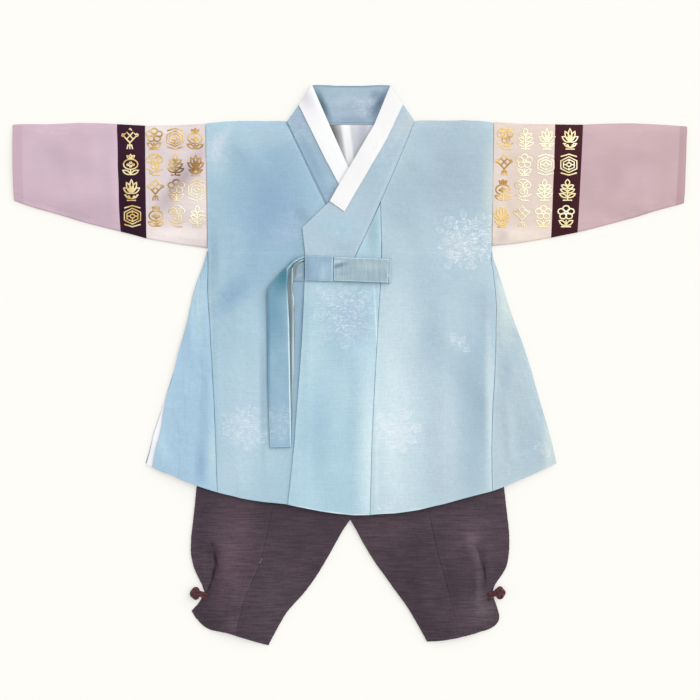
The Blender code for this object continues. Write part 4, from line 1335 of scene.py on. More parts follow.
        # The patches are painted light and shade over the gusset, with thin painted highlights along its seam and its
        # hem edge.
        gusset_left = self.silk(
            "gusset_silk_left", (175, 207, 223), (180, 211, 226), (Motif(bouquet, -6, 51, 35, 0, 0.85),),
            (
                PaintedLight(18, 345, 18, 170, (208, 230, 238), 0.95), PaintedLight(2, 206, 36, 44, (160, 188, 214), 0.8),
                PaintedLight(-30, 178, 34, 20, (190, 216, 228), 0.6), PaintedLight(-36, 240, 20, 60, (190, 217, 230), 0.7),
                PaintedLight(-34, 318, 18, 80, (164, 198, 218), 0.6), PaintedLight(27.8, 226, 1.6, 100, (226, 242, 248), 0.7, 3),
                PaintedLight(-8, 280, 24, 44, (190, 219, 233), 0.5), PaintedLight(-44.8, 405.4, 24, 1.1, (232, 244, 250), 0.8, -10.7),
                PaintedLight(-14.9, 410.3, 22, 1.1, (232, 244, 250), 0.8, -7.1),
                PaintedLight(8.2, 412.2, 18, 1.1, (232, 244, 250), 0.8), PaintedLight(24, 112, 11, 46, (160, 188, 204), 0.85),
            ),
        )
        return [
            Cloth(
                "front_gore_right", gore_right, "blue_silk", (0.0677, 0.2529), 0.009268, "gore_lining_right_cloth",
                own=(Crease(-158, 330, -157, 392, 8, -0.9), Crease(-150, 250, -148, 380, 8, 0.7)),
                nudges=(Nudge(-201, 329, 36, 2.2, 0), Nudge(-207, 363, 24, 0.4, 1.3)),
            ),
            Cloth(
                "front_gore_left", gore_left, "blue_silk", (0.068, 0.2497), 0.008641, "back_gore_left_cloth",
                own=(Crease(158, 200, 170, 380, 10, 0.8), Crease(192, 300, 200, 380, 12, -0.7)),
            ),
            Cloth(
                "front_right", front_right, "blue_silk", (0.1299, 0.4143), 0.048526, "back_lining_cloth",
                own=(Crease(-141, 200, -139, 390, 6, 0.6), Crease(-96, 170, -94, 330, 6, -0.6)),
            ),
            Cloth(
                "front_left", front_left, "blue_silk", (0.1272, 0.4168), 0.048015, "back_lining_cloth", cell=5.0,
                own=(
                    Crease(29, 170, 23, 408, 7, 0.7), Crease(146, 230, 148, 392, 7, 0.7),
                    Crease(132, 250, 128, 380, 16, -0.8),
                ),
            ),
            Cloth(
                "gusset_right", gusset_right, "blue_silk", (0.0831, 0.3154), 0.020573, "back_lining_cloth", cell=8.0,
            ),
            Cloth(
                "gusset_left", gusset_left, "blue_silk", (0.0864, 0.329), 0.022164, "front_right_cloth", cell=5.0,
                own=(Crease(20, 170, 14, 408, 8, 0.5), Crease(-42, 180, -46, 390, 7, 0.6)),
            ),
        ]

    def collars(self) -> list[Cloth]:
        """Lists the two ends of the collar with their white strips.

        Returns:
            The pieces from the table up.
        """
        # The two patches are painted shade in the fold at the top of the strip.
        white_right = Woven(
            "white_silk_right", (255, 255, 255), (252, 253, 255), slub=0.01, weave=0.015, cloud=0.005,
            edge_shade=0.03, crest_highlight=0.0,
            painted_light=(
                PaintedLight(-42, -12, 30, 16, (240, 236, 246), 0.5, -60), PaintedLight(-47, -25, 20, 12, (222, 220, 228), 0.9, -60),
            ),
        )
        white_left = Woven(
            "white_silk_left", (246, 246, 247), (249, 249, 250), slub=0.012, weave=0.02, cloud=0.005, edge_shade=0.05,
            crest_highlight=0.0,
        )
        # The patches on both ends of the collar are painted light and shade.
        under = self.silk(
            "collar_silk_right", (154, 183, 204), (160, 187, 207),
            (Motif(MotifKind.BOUQUET, -51, 251, 20, 30, 0.35),),
            (
                PaintedLight(-52, -4, 14, 20, (158, 176, 204), 0.8, -60), PaintedLight(-18, 62, 20, 12, (168, 196, 214), 0.7),
                PaintedLight(-40, 40, 8, 50, (138, 168, 192), 0.6, 24),
            ),
            (Band(-44.2, 210.3, 0.9, (96, 134, 164), -64.1, 0.45, 0.85),),
        )
        over = self.silk(
            "collar_silk_left", (176, 198, 213), (181, 203, 217), (),
            (
                PaintedLight(-12, 112, 40, 22, (172, 204, 222), 0.8), PaintedLight(50, 8, 14, 26, (196, 212, 224), 0.7, -24),
                PaintedLight(26, 60, 12, 40, (168, 194, 208), 0.6, -28), PaintedLight(62, -2, 10, 30, (196, 208, 212), 0.7, -25),
                PaintedLight(-6, 132, 22, 7, (164, 194, 212), 0.7),
            ),
        )
        return [
            Cloth("collar_right", under, "blue_silk", (0.0531, 0.2079), 0.008005, "front_right_cloth", cell=4.0),
            Cloth(
                "collar_strip_right", white_right, "white_strip", (0.0212, 0.1386), 0.002523, "collar_right_cloth",
                cell=4.0,
            ),
            Cloth(
                "collar_left", over, "blue_silk", (0.0638, 0.2113), 0.009187, "gusset_left_cloth", cell=4.0,
                own=(Crease(20, 100, 58, 14, 5, 0.5), Crease(-30, 118, 2, 104, 12, 0.5)),
            ),
            Cloth(
                "collar_strip_left", white_left, "white_strip", (0.0229, 0.1398), 0.002714, "collar_left_cloth",
                cell=4.0,
            ),
        ]


@dataclass
class Tie(Part):
    """The breast tie: one end run to a knot, its loop to the right and two tails hanging to the left."""

    deep: Look = (142, 178, 199)
    light: Look = (148, 184, 204)

    def silk(
        self, name: str, first: Look, second: Look, rib: float, painted_light: tuple[PaintedLight, ...],
        motifs: tuple[Motif, ...] = (), bands: tuple[Band, ...] = (), crest_highlight: float = 0.2,
    ) -> Woven:
        """Weaves the tie's ribbed silk with a painted highlight along its folded edges."""
        return Woven(
            name, first, second, slub=0.06, slub_high=0.8, slub_long=14.0, weave=0.16, rib=rib, cloud=0.03,
            cloud_size=30.0, edge_shade=0.05, crest_highlight=crest_highlight, crest_from=0.3, crest_to=1.4, painted_light=painted_light, motifs=motifs,
            bands=bands,
        )

    def pieces(self) -> list[Cloth]:
        """Lists the tie's cut pieces from the jacket up.

        Returns:
            The pieces with their finishes and cut sizes.
        """
        # The patches are painted shade on the tail's upper turn and along its left edge, with thin painted highlights
        # along its folded right edge and the folds at the top.
        front = self.silk(
            "tie_silk_front", self.deep, self.light, 0.02,
            (
                PaintedLight(-70, 162, 40, 30, (66, 124, 146), 0.98, 38), PaintedLight(-82, 200, 20, 60, (110, 156, 180), 0.8),
                PaintedLight(-75, 322, 22, 76, (158, 190, 212), 0.85), PaintedLight(-86.5, 240, 4.5, 140, (96, 140, 166), 0.9),
                PaintedLight(-63.7, 262, 1.05, 150, (206, 228, 236), 1.0, 1.2),
                PaintedLight(-63.2, 152.5, 7, 0.75, (208, 230, 238), 1.0, 51.6),
                PaintedLight(-56.7, 146.8, 6, 0.75, (208, 230, 238), 1.0, 28.3),
                PaintedLight(-50.8, 144.1, 6, 0.75, (206, 228, 236), 0.9, 19),
                PaintedLight(-65.0, 172, 0.8, 26, (212, 232, 240), 0.9, 0.5),
            ),
            (Motif(MotifKind.BOUQUET, -73.5, -62, 19, 10, 0.5),), (), 0.3,
        )
        # The patches are painted shade in the gap between the tails, with thin painted highlights along its folded
        # edges.
        back = self.silk(
            "tie_silk_back", (128, 144, 148), (142, 158, 162), 0.02,
            (
                PaintedLight(-63, 160, 4, 30, (80, 116, 130), 0.8), PaintedLight(-57.4, 162, 3, 26, (116, 120, 112), 0.7),
                PaintedLight(-59.8, 262, 1.05, 120, (206, 222, 230), 1.0), PaintedLight(-63, 240, 2.4, 130, (98, 116, 118), 0.9),
                PaintedLight(-62, 266, 3, 44, (112, 136, 148), 0.5), PaintedLight(-60.6, 160, 0.8, 18, (210, 225, 230), 1.0),
                PaintedLight(-59.4, 184, 1.0, 24, (206, 222, 227), 1.0, 5),
                PaintedLight(-57.2, 149.4, 5, 0.8, (208, 224, 230), 1.0, 50),
                PaintedLight(-51.5, 146.4, 6, 0.8, (208, 224, 230), 0.9, 18),
            ),
            (), (), 0.3,
        )
        # The patches are painted light and shade on the stub's wrinkles.
        stub = self.silk(
            "tie_silk_stub", (144, 174, 192), (152, 180, 198), 0.04,
            (
                PaintedLight(-54, 151, 3, 7, (158, 182, 194), 0.6), PaintedLight(-53, 161.6, 6, 3.4, (180, 194, 216), 0.7, 6),
                PaintedLight(-57, 155, 3, 9, (126, 150, 172), 0.8),
            ),
        )
        # The patches are painted shade at the knot's sides and painted light on the right; the stripes are a painted
        # highlight along the folded right edge and a painted shade line along the top edge.
        knot = self.silk(
            "tie_silk_knot", (151, 181, 203), (157, 186, 207), 0.07,
            (
                PaintedLight(-44, 154, 5, 20, (134, 164, 188), 0.8), PaintedLight(-28, 160, 8, 16, (176, 202, 218), 0.7),
                PaintedLight(-27, 146, 12, 6, (124, 152, 174), 0.25),
            ),
            (), (Band(-19.3, 101.5, 0.5, (186, 208, 222), 87, 0.3), Band(-32, 113.2, 0.4, (132, 160, 182), -2, 0.3)),
        )
        # The patches are painted shade in the pinch by the knot and painted light on the loop's upper side; the
        # stripes at its end are a painted shade line on the outer edge and a painted highlight inside it.
        loop = self.silk(
            "tie_silk_loop", (161, 185, 196), (167, 191, 202), 0.13,
            (
                PaintedLight(-12, 151.8, 12, 4.2, (104, 134, 150), 0.8, 20), PaintedLight(-6, 160, 12, 6, (150, 178, 194), 0.6, 15),
                PaintedLight(20, 152, 26, 8, (182, 202, 210), 0.6), PaintedLight(-13, 147.5, 9, 3, (192, 212, 220), 0.8),
                PaintedLight(-10, 164, 9, 4, (180, 202, 212), 0.7),
            ),
            (), (Band(40.6, 100, 0.5, (110, 136, 152), 88, 0.4), Band(39.4, 100, 0.6, (206, 220, 226), 88, 0.3)), 0.4,
        )
        own_loop = (
            Crease(-18, 156.2, 2, 149.6, 6, -0.6), Crease(-16, 160, 6, 152.5, 6, 0.6),
            Crease(-17, 151.5, -2, 146.2, 5, 0.4),
        )
        return [
            Cloth(
                "tie_tail_back", back, "blue_tie", (0.0251, 0.1946), 0.003233, "front_right_cloth", cell=2.4,
                roll=0.5, roll_width=1.8, nudges=(Nudge(-56, 162, 11, 2.8, 0.4), Nudge(-55, 190, 16, 2.0, 0)),
            ),
            Cloth(
                "tie_tail_front", front, "blue_tie", (0.0363, 0.2028), 0.004396, "tie_tail_back_cloth", cell=2.4,
                roll=0.55, roll_width=1.8, nudges=(Nudge(-87, 177, 14, 0, -1.8),),
                own=(Crease(-80, 250, -72, 325, 10, 0.4), Crease(-70, 190, -66, 250, 8, 0.35)),
            ),
            Cloth(
                "tie_stub", stub, "blue_tie", (0.0125, 0.0225), 0.000278, "front_right_cloth", cell=2.0, roll=0.4,
                roll_width=1.6, own=(Crease(-60, 151, -48, 149, 3, 0.5), Crease(-60, 158, -48, 161, 3, 0.5)),
            ),
            Cloth(
                "tie_knot", knot, "blue_tie", (0.0265, 0.0375), 0.0009, "collar_left_cloth", cell=2.4, roll=0.5,
                roll_width=1.8,
            ),
            Cloth(
                "tie_loop", loop, "blue_tie", (0.0253, 0.126), 0.003139, "gusset_left_cloth", cell=2.4, roll=0.4,
                roll_width=1.6, own=own_loop,
            ),
        ]


@dataclass
class Sleeves(Part):
    """The two sleeves, each a flattened tube in three silks from the armhole out."""

    def blush(self, name: str, first: Look, second: Look, painted_light: tuple[PaintedLight, ...]) -> Woven:
        """Weaves the blush silk that carries the gold."""
        return Woven(name, first, second, slub=0.05, weave=0.12, cloud=0.03, cloud_size=34.0, painted_light=painted_light)

    def wine(self, name: str, first: Look, second: Look) -> Woven:
        """Weaves the dark wine silk of the narrow band."""
        return Woven(name, first, second, slub=0.12, weave=0.16, cloud=0.04, crest_highlight=0.02, sheen=0.02, gloss=0.15)

    def mauve(self, name: str, first: Look, second: Look, bands: tuple[Band, ...], painted_light: tuple[PaintedLight, ...]) -> Woven:
        """Weaves the mauve silk of the sleeve's end, with its facing at the cuff."""
        return Woven(
            name, first, second, slub=0.03, weave=0.05, cloud=0.02, cloud_size=48.0, bands=bands, painted_light=painted_light,
        )

    def pieces(self) -> list[Cloth]:
        """Lists the sleeves' pieces from the armhole out.

        Returns:
            The pieces with their finishes and cut sizes.
        """
        # The patches on both blush silks are painted light and shade: the dark diagonal one is painted shade along
        # the fold, the light ones painted highlights.
        blush_right = self.blush(
            "blush_silk_right", (229, 216, 218), (222, 208, 210),
            (
                PaintedLight(-178, 62, 62, 15, (186, 168, 174), 0.95, 54), PaintedLight(-186, 118, 60, 16, (250, 239, 236), 0.95),
                PaintedLight(-158, 84, 24, 22, (242, 230, 224), 0.7), PaintedLight(-200, 8, 40, 14, (238, 229, 224), 0.7),
            ),
        )
        blush_left = self.blush(
            "blush_silk_left", (232, 215, 203), (228, 210, 200),
            (
                PaintedLight(180, 118, 60, 15, (245, 231, 219), 0.95), PaintedLight(158, 60, 10, 90, (240, 226, 218), 0.6),
                PaintedLight(160, 120, 10, 12, (216, 202, 196), 0.8),
            ),
        )
        wine_right = self.wine("wine_silk_right", (46, 14, 36), (56, 20, 44))
        wine_left = self.wine("wine_silk_left", (60, 18, 28), (70, 24, 36))
        # The patches on both mauve silks are painted light and shade, with a thin painted highlight along the lower
        # edge; the stripe is the facing at the cuff.
        mauve_right = self.mauve(
            "mauve_silk_right", (208, 182, 196), (211, 185, 199),
            (Band(-350.0, 210, 11.4, (199, 168, 182), 91, 1.0, 0.6),),
            (
                PaintedLight(-300, 24, 40, 24, (200, 172, 187), 0.25), PaintedLight(-320, 74, 26, 30, (209, 181, 194), 0.4),
                PaintedLight(-276, 92, 50, 22, (198, 172, 186), 0.7), PaintedLight(-262, 30, 18, 60, (214, 190, 203), 0.5),
                PaintedLight(-318, 92.4, 36, 3.5, (222, 194, 207), 0.6, -17),
            ),
        )
        mauve_left = self.mauve(
            "mauve_silk_left", (203, 173, 179), (207, 178, 184),
            (Band(349.8, 210, 10.4, (186, 153, 158), 87, 0.7, 0.75),),
            (
                PaintedLight(330, 60, 22, 70, (197, 167, 172), 0.4), PaintedLight(262, 104, 60, 20, (214, 184, 189), 0.7),
                PaintedLight(296, 8, 60, 12, (212, 182, 186), 0.5),
            ),
        )
        return [
            Cloth(
                "sleeve_blush_right", blush_right, "blush_silk", (0.0656, 0.261), 0.016023,
                own=(Crease(-150, 8, -200, 110, 16, -0.8), Crease(-160, 6, -206, 90, 14, 0.8)),
            ),
            Cloth("sleeve_blush_left", blush_left, "blush_silk", (0.0645, 0.261), 0.015823),
            Cloth("sleeve_band_right", wine_right, "wine_band", (0.0296, 0.2398), 0.006598, slide=0.27),
            Cloth("sleeve_band_left", wine_left, "wine_band", (0.0294, 0.2388), 0.006744, slide=-0.27),
            Cloth("sleeve_end_right", mauve_right, "mauve_silk", (0.1124, 0.2264), 0.02127, slide=0.54),
            Cloth("sleeve_end_left", mauve_left, "mauve_silk", (0.1109, 0.2306), 0.021465, slide=-0.54),
        ]


@dataclass
class Trousers(Part):
    """The trousers: waistband under the jacket and two legs that narrow to the ankle."""

    plum: Look = (67, 53, 63)
    plum_light: Look = (74, 59, 69)

    def slub(self, name: str, painted_light: tuple[PaintedLight, ...] = ()) -> Woven:
        """Weaves the plum silk with its raised crosswise slubs."""
        return Woven(
            name, self.plum, self.plum_light, slub=0.46, slub_high=1.2, slub_long=20.0, weave=0.5, thread=0.75,
            cloud=0.04, cloud_size=44.0, relief=0.25, roughness=0.75, sheen=0.05, edge_shade=0.0, crest_highlight=0.05,
            crest_from=0.2, painted_light=painted_light,
        )

    def pieces(self) -> list[Cloth]:
        """Lists the trousers' pieces from the table up.

        Returns:
            The pieces with their finishes and cut sizes.
        """
        # Thin lines of painted shade along the seams between the leg's panels.
        seam_shade_left = (
            PaintedLight(87.8, 432, 0.9, 38, (42, 32, 40), 0.8, 12.4), PaintedLight(102.2, 489, 0.9, 44, (42, 32, 40), 0.8, 14.7),
        )
        seam_shade_right = (
            PaintedLight(-87.2, 432, 0.8, 38, (46, 36, 44), 0.55, -13.5),
            PaintedLight(-102.0, 481.4, 0.8, 26, (46, 36, 44), 0.6, -23), PaintedLight(-114.6, 517, 0.8, 24, (46, 36, 44), 0.6, -15),
        )
        # The patches are painted light and shade: highlights on the raised cloth, painted shade in the pleat at the
        # ankle and at the outer edge, and a painted highlight beside the seam.
        side_right = self.slub(
            "plum_slub_side_right",
            (
                PaintedLight(-122, 450, 40, 90, (92, 73, 85), 0.9), PaintedLight(-144, 470, 10, 50, (66, 52, 62), 0.6),
                PaintedLight(-112, 530, 40, 20, (88, 72, 82), 0.6), PaintedLight(-142.2, 457, 3.2, 16, (26, 10, 20), 1.0, 12),
                PaintedLight(-143.2, 473, 2.6, 15, (28, 10, 20), 1.0, -12), PaintedLight(-156, 428, 14, 44, (62, 50, 64), 0.7),
                PaintedLight(-148.4, 490, 1.8, 16, (34, 16, 26), 0.9, -20), PaintedLight(-146.5, 450, 8, 14, (58, 44, 56), 0.8),
                PaintedLight(-103.4, 481.4, 0.8, 26, (122, 104, 114), 0.4, -23), *seam_shade_right,
            ),
        )
        side_left = self.slub(
            "plum_slub_side_left",
            (
                PaintedLight(126, 434, 46, 46, (85, 69, 79), 0.9), PaintedLight(112, 480, 14, 40, (62, 49, 58), 0.7),
                PaintedLight(140, 470, 8, 40, (60, 47, 56), 0.6), PaintedLight(124, 520, 20, 30, (84, 68, 78), 0.6),
                PaintedLight(137, 459, 2.0, 18, (34, 12, 20), 0.95, 16), PaintedLight(141.4, 474, 1.8, 15, (34, 10, 18), 0.95, 6),
                PaintedLight(130, 450, 9, 24, (98, 82, 92), 0.7, 20), PaintedLight(136, 484, 6, 32, (98, 82, 91), 0.5, 4),
                PaintedLight(127, 438, 12, 11, (104, 88, 98), 0.6), PaintedLight(140, 512, 22, 26, (96, 82, 90), 0.8),
                PaintedLight(134.5, 500, 5, 40, (102, 86, 95), 0.35, 2), *seam_shade_left,
            ),
        )
        # The front panels' patches are painted light and shade over the legs.
        front_right = self.slub("plum_slub_front_right", (PaintedLight(-80, 500, 40, 60, (82, 68, 78), 0.6), *seam_shade_right))
        front_left = self.slub(
            "plum_slub_front_left",
            (PaintedLight(34, 436, 44, 54, (82, 66, 75), 0.5), PaintedLight(72, 468, 34, 50, (62, 48, 58), 0.5), *seam_shade_left),
        )
        inner = self.slub("plum_slub_inner")
        pleat_right = (
            Crease(-148.6, 440, -139, 454, 4, -1.6), Crease(-141, 450, -142, 474, 3.6, -1.9),
            Crease(-142, 470, -151, 500, 4, -1.6), Crease(-134, 436, -134, 500, 9, 0.9),
            Crease(-150, 432, -138, 446, 7, 0.7),
        )
        pleat_left = (
            Crease(128, 444, 138, 457, 4, -1.4), Crease(136.4, 452, 140, 470, 3.6, -1.7),
            Crease(139.5, 466, 142, 492, 3.6, -1.4), Crease(122, 430, 132, 462, 11, 0.7),
            Crease(131, 460, 135, 504, 10, 0.6), Crease(118, 438, 130, 432, 8, 0.4),
        )
        hem = (Nudge(-128, 545, 34, 0.0, -1.2), Nudge(-148, 527, 24, 0.0, 2.6))
        side = {"cell": 4.4, "rounded": 7.0, "rim": 0.12}
        panel = {"rounded": 6.0, "sharp": 0.1, "rim": 0.12}
        right = {**panel, "slide": -0.42, "nudges": (*hem, Nudge(-5, 413, 18, 1.0, 0))}
        left = {**panel, "slide": 0.42, "nudges": (Nudge(5, 413, 18, -1.0, 0),)}
        return [
            Cloth("waistband", inner, "plum_slub", (0.025, 0.52), 0.012895, "back_left_cloth", cell=8.0),
            Cloth("leg_back_right", inner, "plum_slub", (0.0972, 0.3682), 0.023512, cell=8.0, **right),
            Cloth("leg_back_left", inner, "plum_slub", (0.0952, 0.3634), 0.023305, cell=8.0, **left),
            Cloth(
                "leg_side_right", side_right, "plum_slub", (0.1724, 0.3548), 0.051793, own=pleat_right, nudges=hem,
                **side,
            ),
            Cloth("leg_side_left", side_left, "plum_slub", (0.1724, 0.3554), 0.05133, own=pleat_left, **side),
            Cloth(
                "leg_front_right", front_right, "plum_slub", (0.0972, 0.3682), 0.023537, "leg_back_right_cloth",
                **right,
            ),
            Cloth(
                "leg_front_left", front_left, "plum_slub", (0.0952, 0.3634), 0.02333, "leg_back_left_cloth", **left,
            ),
        ]


# ---------------------------------------------------------------- gilding


Line = list[Point]


def arc(x: float, y: float, wide: float, high: float, start: float, end: float, steps: int = 12) -> Line:
    """Draws part of an oval round x and y, half as wide and as high as given, from start to end in degrees."""
    turns = [math.radians(start + (end - start) * k / steps) for k in range(steps + 1)]
    return [(x + wide * math.cos(t), y + high * math.sin(t)) for t in turns]


def petal(x: float, y: float, long: float, wide: float, turn: float, steps: int = 6) -> Line:
    """Draws the outline of a pointed petal or leaf from its foot out.

    Args:
        x: Its foot across.
        y: Its foot up.
        long: Its length.
        wide: Half its width.
        turn: Which way it points, in degrees.
        steps: How many short lengths each side has.

    Returns:
        The points round it, back to its foot.
    """
    cos, sin = math.cos(math.radians(turn)), math.sin(math.radians(turn))
    shares = [k / steps for k in range(steps + 1)]
    rim = [(long * s, wide * math.sin(math.pi * s)) for s in shares]
    rim += [(long * s, -wide * math.sin(math.pi * s)) for s in reversed(shares[:-1])]
    return [(x + a * cos - b * sin, y + a * sin + b * cos) for a, b in rim]


def scroll(
    x: float, y: float, reach: float, start: float, turns: float, steps: int = 16, wound: float = 0.78,
) -> Line:
    """Draws a scroll that winds inwards.

    Args:
        x: Its middle across.
        y: Its middle up.
        reach: How far out it starts.
        start: Where it starts, in degrees.
        turns: How often it winds, below 0 to wind the other way.
        steps: How many short lengths it has.
        wound: How much of the reach it winds in.

    Returns:
        The points along it.
    """
    found = []
    for k in range(steps + 1):
        out = reach * (1 - wound * k / steps)
        turn = math.radians(start + 360 * turns * k / steps)
        found.append((x + out * math.cos(turn), y + out * math.sin(turn)))
    return found


class GiltDesign(Enum):
    """The ornaments that are pressed on the sleeves in gold, all in a cell from -1 to 1."""

    PLUM = "plum"
    LOTUS = "lotus"
    CLOUD = "cloud"
    SHELL = "shell"
    KNOT = "knot"
    SPRIG = "sprig"
    FRUIT = "fruit"

    def lines(self) -> list[Line]:
        """Draws the ornament."""
        return getattr(self, f"draw_{self.value}")()

    def draw_plum(self) -> list[Line]:
        """Draws a plum blossom on a stem with two leaves."""
        petals = [
            arc(
                0.5 * math.cos(math.radians(90 + 72 * k)), 0.3 + 0.38 * math.sin(math.radians(90 + 72 * k)), 0.33,
                0.25, 0, 360,
            )
            for k in range(5)
        ]
        return [
            *petals, arc(0, 0.3, 0.14, 0.1, 0, 360, 8), [(0, -0.36), (0.02, -0.96)], petal(0, -0.84, 0.82, 0.17, 32),
            petal(0, -0.84, 0.82, 0.17, 148), [(-0.5, -0.96), (0.5, -0.96)],
        ]

    def draw_lotus(self) -> list[Line]:
        """Draws an open lotus over its seat."""
        petals = [
            petal(0, -0.28, long, 0.2, turn)
            for turn, long in ((90, 1.22), (60, 1.12), (120, 1.12), (28, 1.0), (152, 1.0))
        ]
        return [
            *petals, [(-0.78, -0.42), (0.78, -0.42)], arc(0, -0.46, 0.62, 0.28, 180, 360),
            [(-0.5, -0.9), (0.5, -0.9)], arc(-0.3, -0.6, 0.12, 0.08, 0, 360, 6),
            arc(0.3, -0.6, 0.12, 0.08, 0, 360, 6),
        ]

    def draw_cloud(self) -> list[Line]:
        """Draws a cloud of three scrolls with a trailing end."""
        return [
            scroll(-0.42, 0.42, 0.44, -60, 1.5), scroll(0.42, 0.42, 0.44, 240, -1.5),
            scroll(0, -0.12, 0.46, 270, 1.6), arc(0, 0.72, 0.5, 0.24, 20, 160, 8),
            [(-0.72, -0.34), (-0.2, -0.62), (0.3, -0.62), (0.74, -0.34)],
            [(-0.5, -0.66), (-0.1, -0.92), (0.5, -0.94)],
        ]

    def draw_shell(self) -> list[Line]:
        """Draws the six-sided plates of a tortoise shell."""
        plates = [arc(0, 0.0, r, r * 0.8, 90, 450, 6) for r in (0.92, 0.62)]
        return [*plates, arc(0, 0, 0.24, 0.18, 0, 360, 8), [(-0.8, 0.76), (0, 0.98), (0.8, 0.76)],
                [(-0.8, -0.76), (0, -0.98), (0.8, -0.76)], [(0, 0.28), (0, 0.5)], [(0, -0.28), (0, -0.5)],
                [(0.22, 0.0), (0.5, 0.0)], [(-0.22, 0.0), (-0.5, 0.0)]]

    def draw_knot(self) -> list[Line]:
        """Draws an endless knot with a tassel."""
        slant = [[(-0.7 + a, 0.32 - a), (0.02 + a, 0.98 - a)] for a in (0.0, 0.35, 0.7)]
        other = [[(0.7 - a, 0.32 - a), (-0.02 - a, 0.98 - a)] for a in (0.0, 0.35, 0.7)]
        return [*slant, *other, arc(-0.74, 0.34, 0.14, 0.12, 60, 300, 6), arc(0.74, 0.34, 0.14, 0.12, -120, 120, 6),
                [(0, -0.42), (0, -0.6)], [(-0.26, -0.6), (0.26, -0.6)], [(-0.2, -0.62), (-0.3, -0.98)],
                [(0, -0.62), (0, -0.98)], [(0.2, -0.62), (0.3, -0.98)]]

    def draw_sprig(self) -> list[Line]:
        """Draws a sprig of paired leaves under a bud."""
        pairs = [
            petal(0, foot, 0.82 - 0.1 * k, 0.15, turn)
            for k, foot in enumerate((-0.72, -0.26, 0.16))
            for turn in (28, 152)
        ]
        return [*pairs, petal(0, 0.4, 0.58, 0.2, 90), [(0, -0.98), (0, 0.42)], [(-0.42, -0.96), (0.42, -0.96)]]

    def draw_fruit(self) -> list[Line]:
        """Draws a pomegranate with its crown, seeds and leaves."""
        seeds = [arc(x, y, 0.1, 0.075, 0, 360, 6) for x, y in ((0, 0.16), (-0.22, -0.02), (0.22, -0.02), (0, -0.16))]
        return [
            arc(0, 0.02, 0.6, 0.46, 0, 360, 16), *seeds, petal(0, 0.46, 0.46, 0.1, 90),
            petal(0, 0.46, 0.48, 0.09, 48), petal(0, 0.46, 0.48, 0.09, 132), [(0, -0.46), (0, -0.96)],
            petal(0, -0.9, 0.78, 0.15, 30), petal(0, -0.9, 0.78, 0.15, 150),
        ]


@dataclass(frozen=True)
class Stamp:
    """One gold ornament: its design and its middle."""

    design: GiltDesign
    x: float
    drop: float


@dataclass
class Gilt:
    """The gold ornaments of one sleeve cloth, pressed on its upper side."""

    name: str
    cloth: str
    leaf: Gilding
    stamps: tuple[Stamp, ...]
    half_width: float = 8.5
    half_height: float = 11.0
    stroke: float = 0.8
    proud: float = 0.16
    lifted: float = 0.06
    bare: float = 4.0

    def draw(self, design: GiltDesign) -> Piece:
        """Draws one design flat at the middle, as raised lines.

        Args:
            design: The ornament to draw.

        Returns:
            The ornament's mesh.
        """
        drawn = new_curve()
        lines = [np.array(line) for line in design.lines()]
        low, high = np.concatenate(lines).min(0), np.concatenate(lines).max(0)
        fit = 2 * np.array([self.half_width, self.half_height]) * MM / (high - low)
        for line in lines:
            closed = math.dist(line[0], line[-1]) < 1e-6
            points = ((line[:-1] if closed else line) - (low + high) / 2) * fit
            spline = drawn.data.splines.new("POLY")
            spline.points.add(len(points) - 1)
            for spot, (x, y) in zip(spline.points, points):
                spot.co = (x, y, 0, 1)
            spline.use_cyclic_u = closed
        drawn = thicken(drawn, self.stroke, 1)
        with opened(drawn):
            bpy.ops.transform.resize(value=(1, 1, self.proud / self.stroke), center_override=(0, 0, 0))
            bpy.ops.mesh.normals_make_consistent(inside=False)
        return drawn

    def press(self, piece: Piece) -> None:
        """Presses the gold lines on the cloth under them.

        Args:
            piece: The lines, drawn flat over the cloth.
        """
        under = Surface(self.cloth)
        points = places(piece)
        for point in points:
            point[2] += under.height(point[0], point[1], self.bare * MM) + self.lifted * MM
        put(piece, points)

    def make(self) -> Piece:
        """Makes the ornaments as one piece.

        Returns:
            The finished piece.
        """
        models = {design: self.draw(design) for design in {stamp.design: None for stamp in self.stamps}}
        copies = []
        for stamp in self.stamps:
            mesh = models[stamp.design].data.copy()
            mesh.transform(Matrix.Translation((stamp.x * MM, (SHOULDER - stamp.drop) * MM, 0)))
            copies.append(add_object(self.name, mesh))
        pick(*models.values())
        bpy.ops.object.delete()
        pick(*copies)
        bpy.ops.object.join()
        piece = bpy.context.object
        self.press(piece)
        piece.name = self.name
        pick(piece)
        bpy.ops.object.shade_smooth()
        piece.data.materials.append(self.leaf.material())
        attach(piece, "root")
        log.info("%s: %d ornaments", piece.name, len(self.stamps))
        return piece


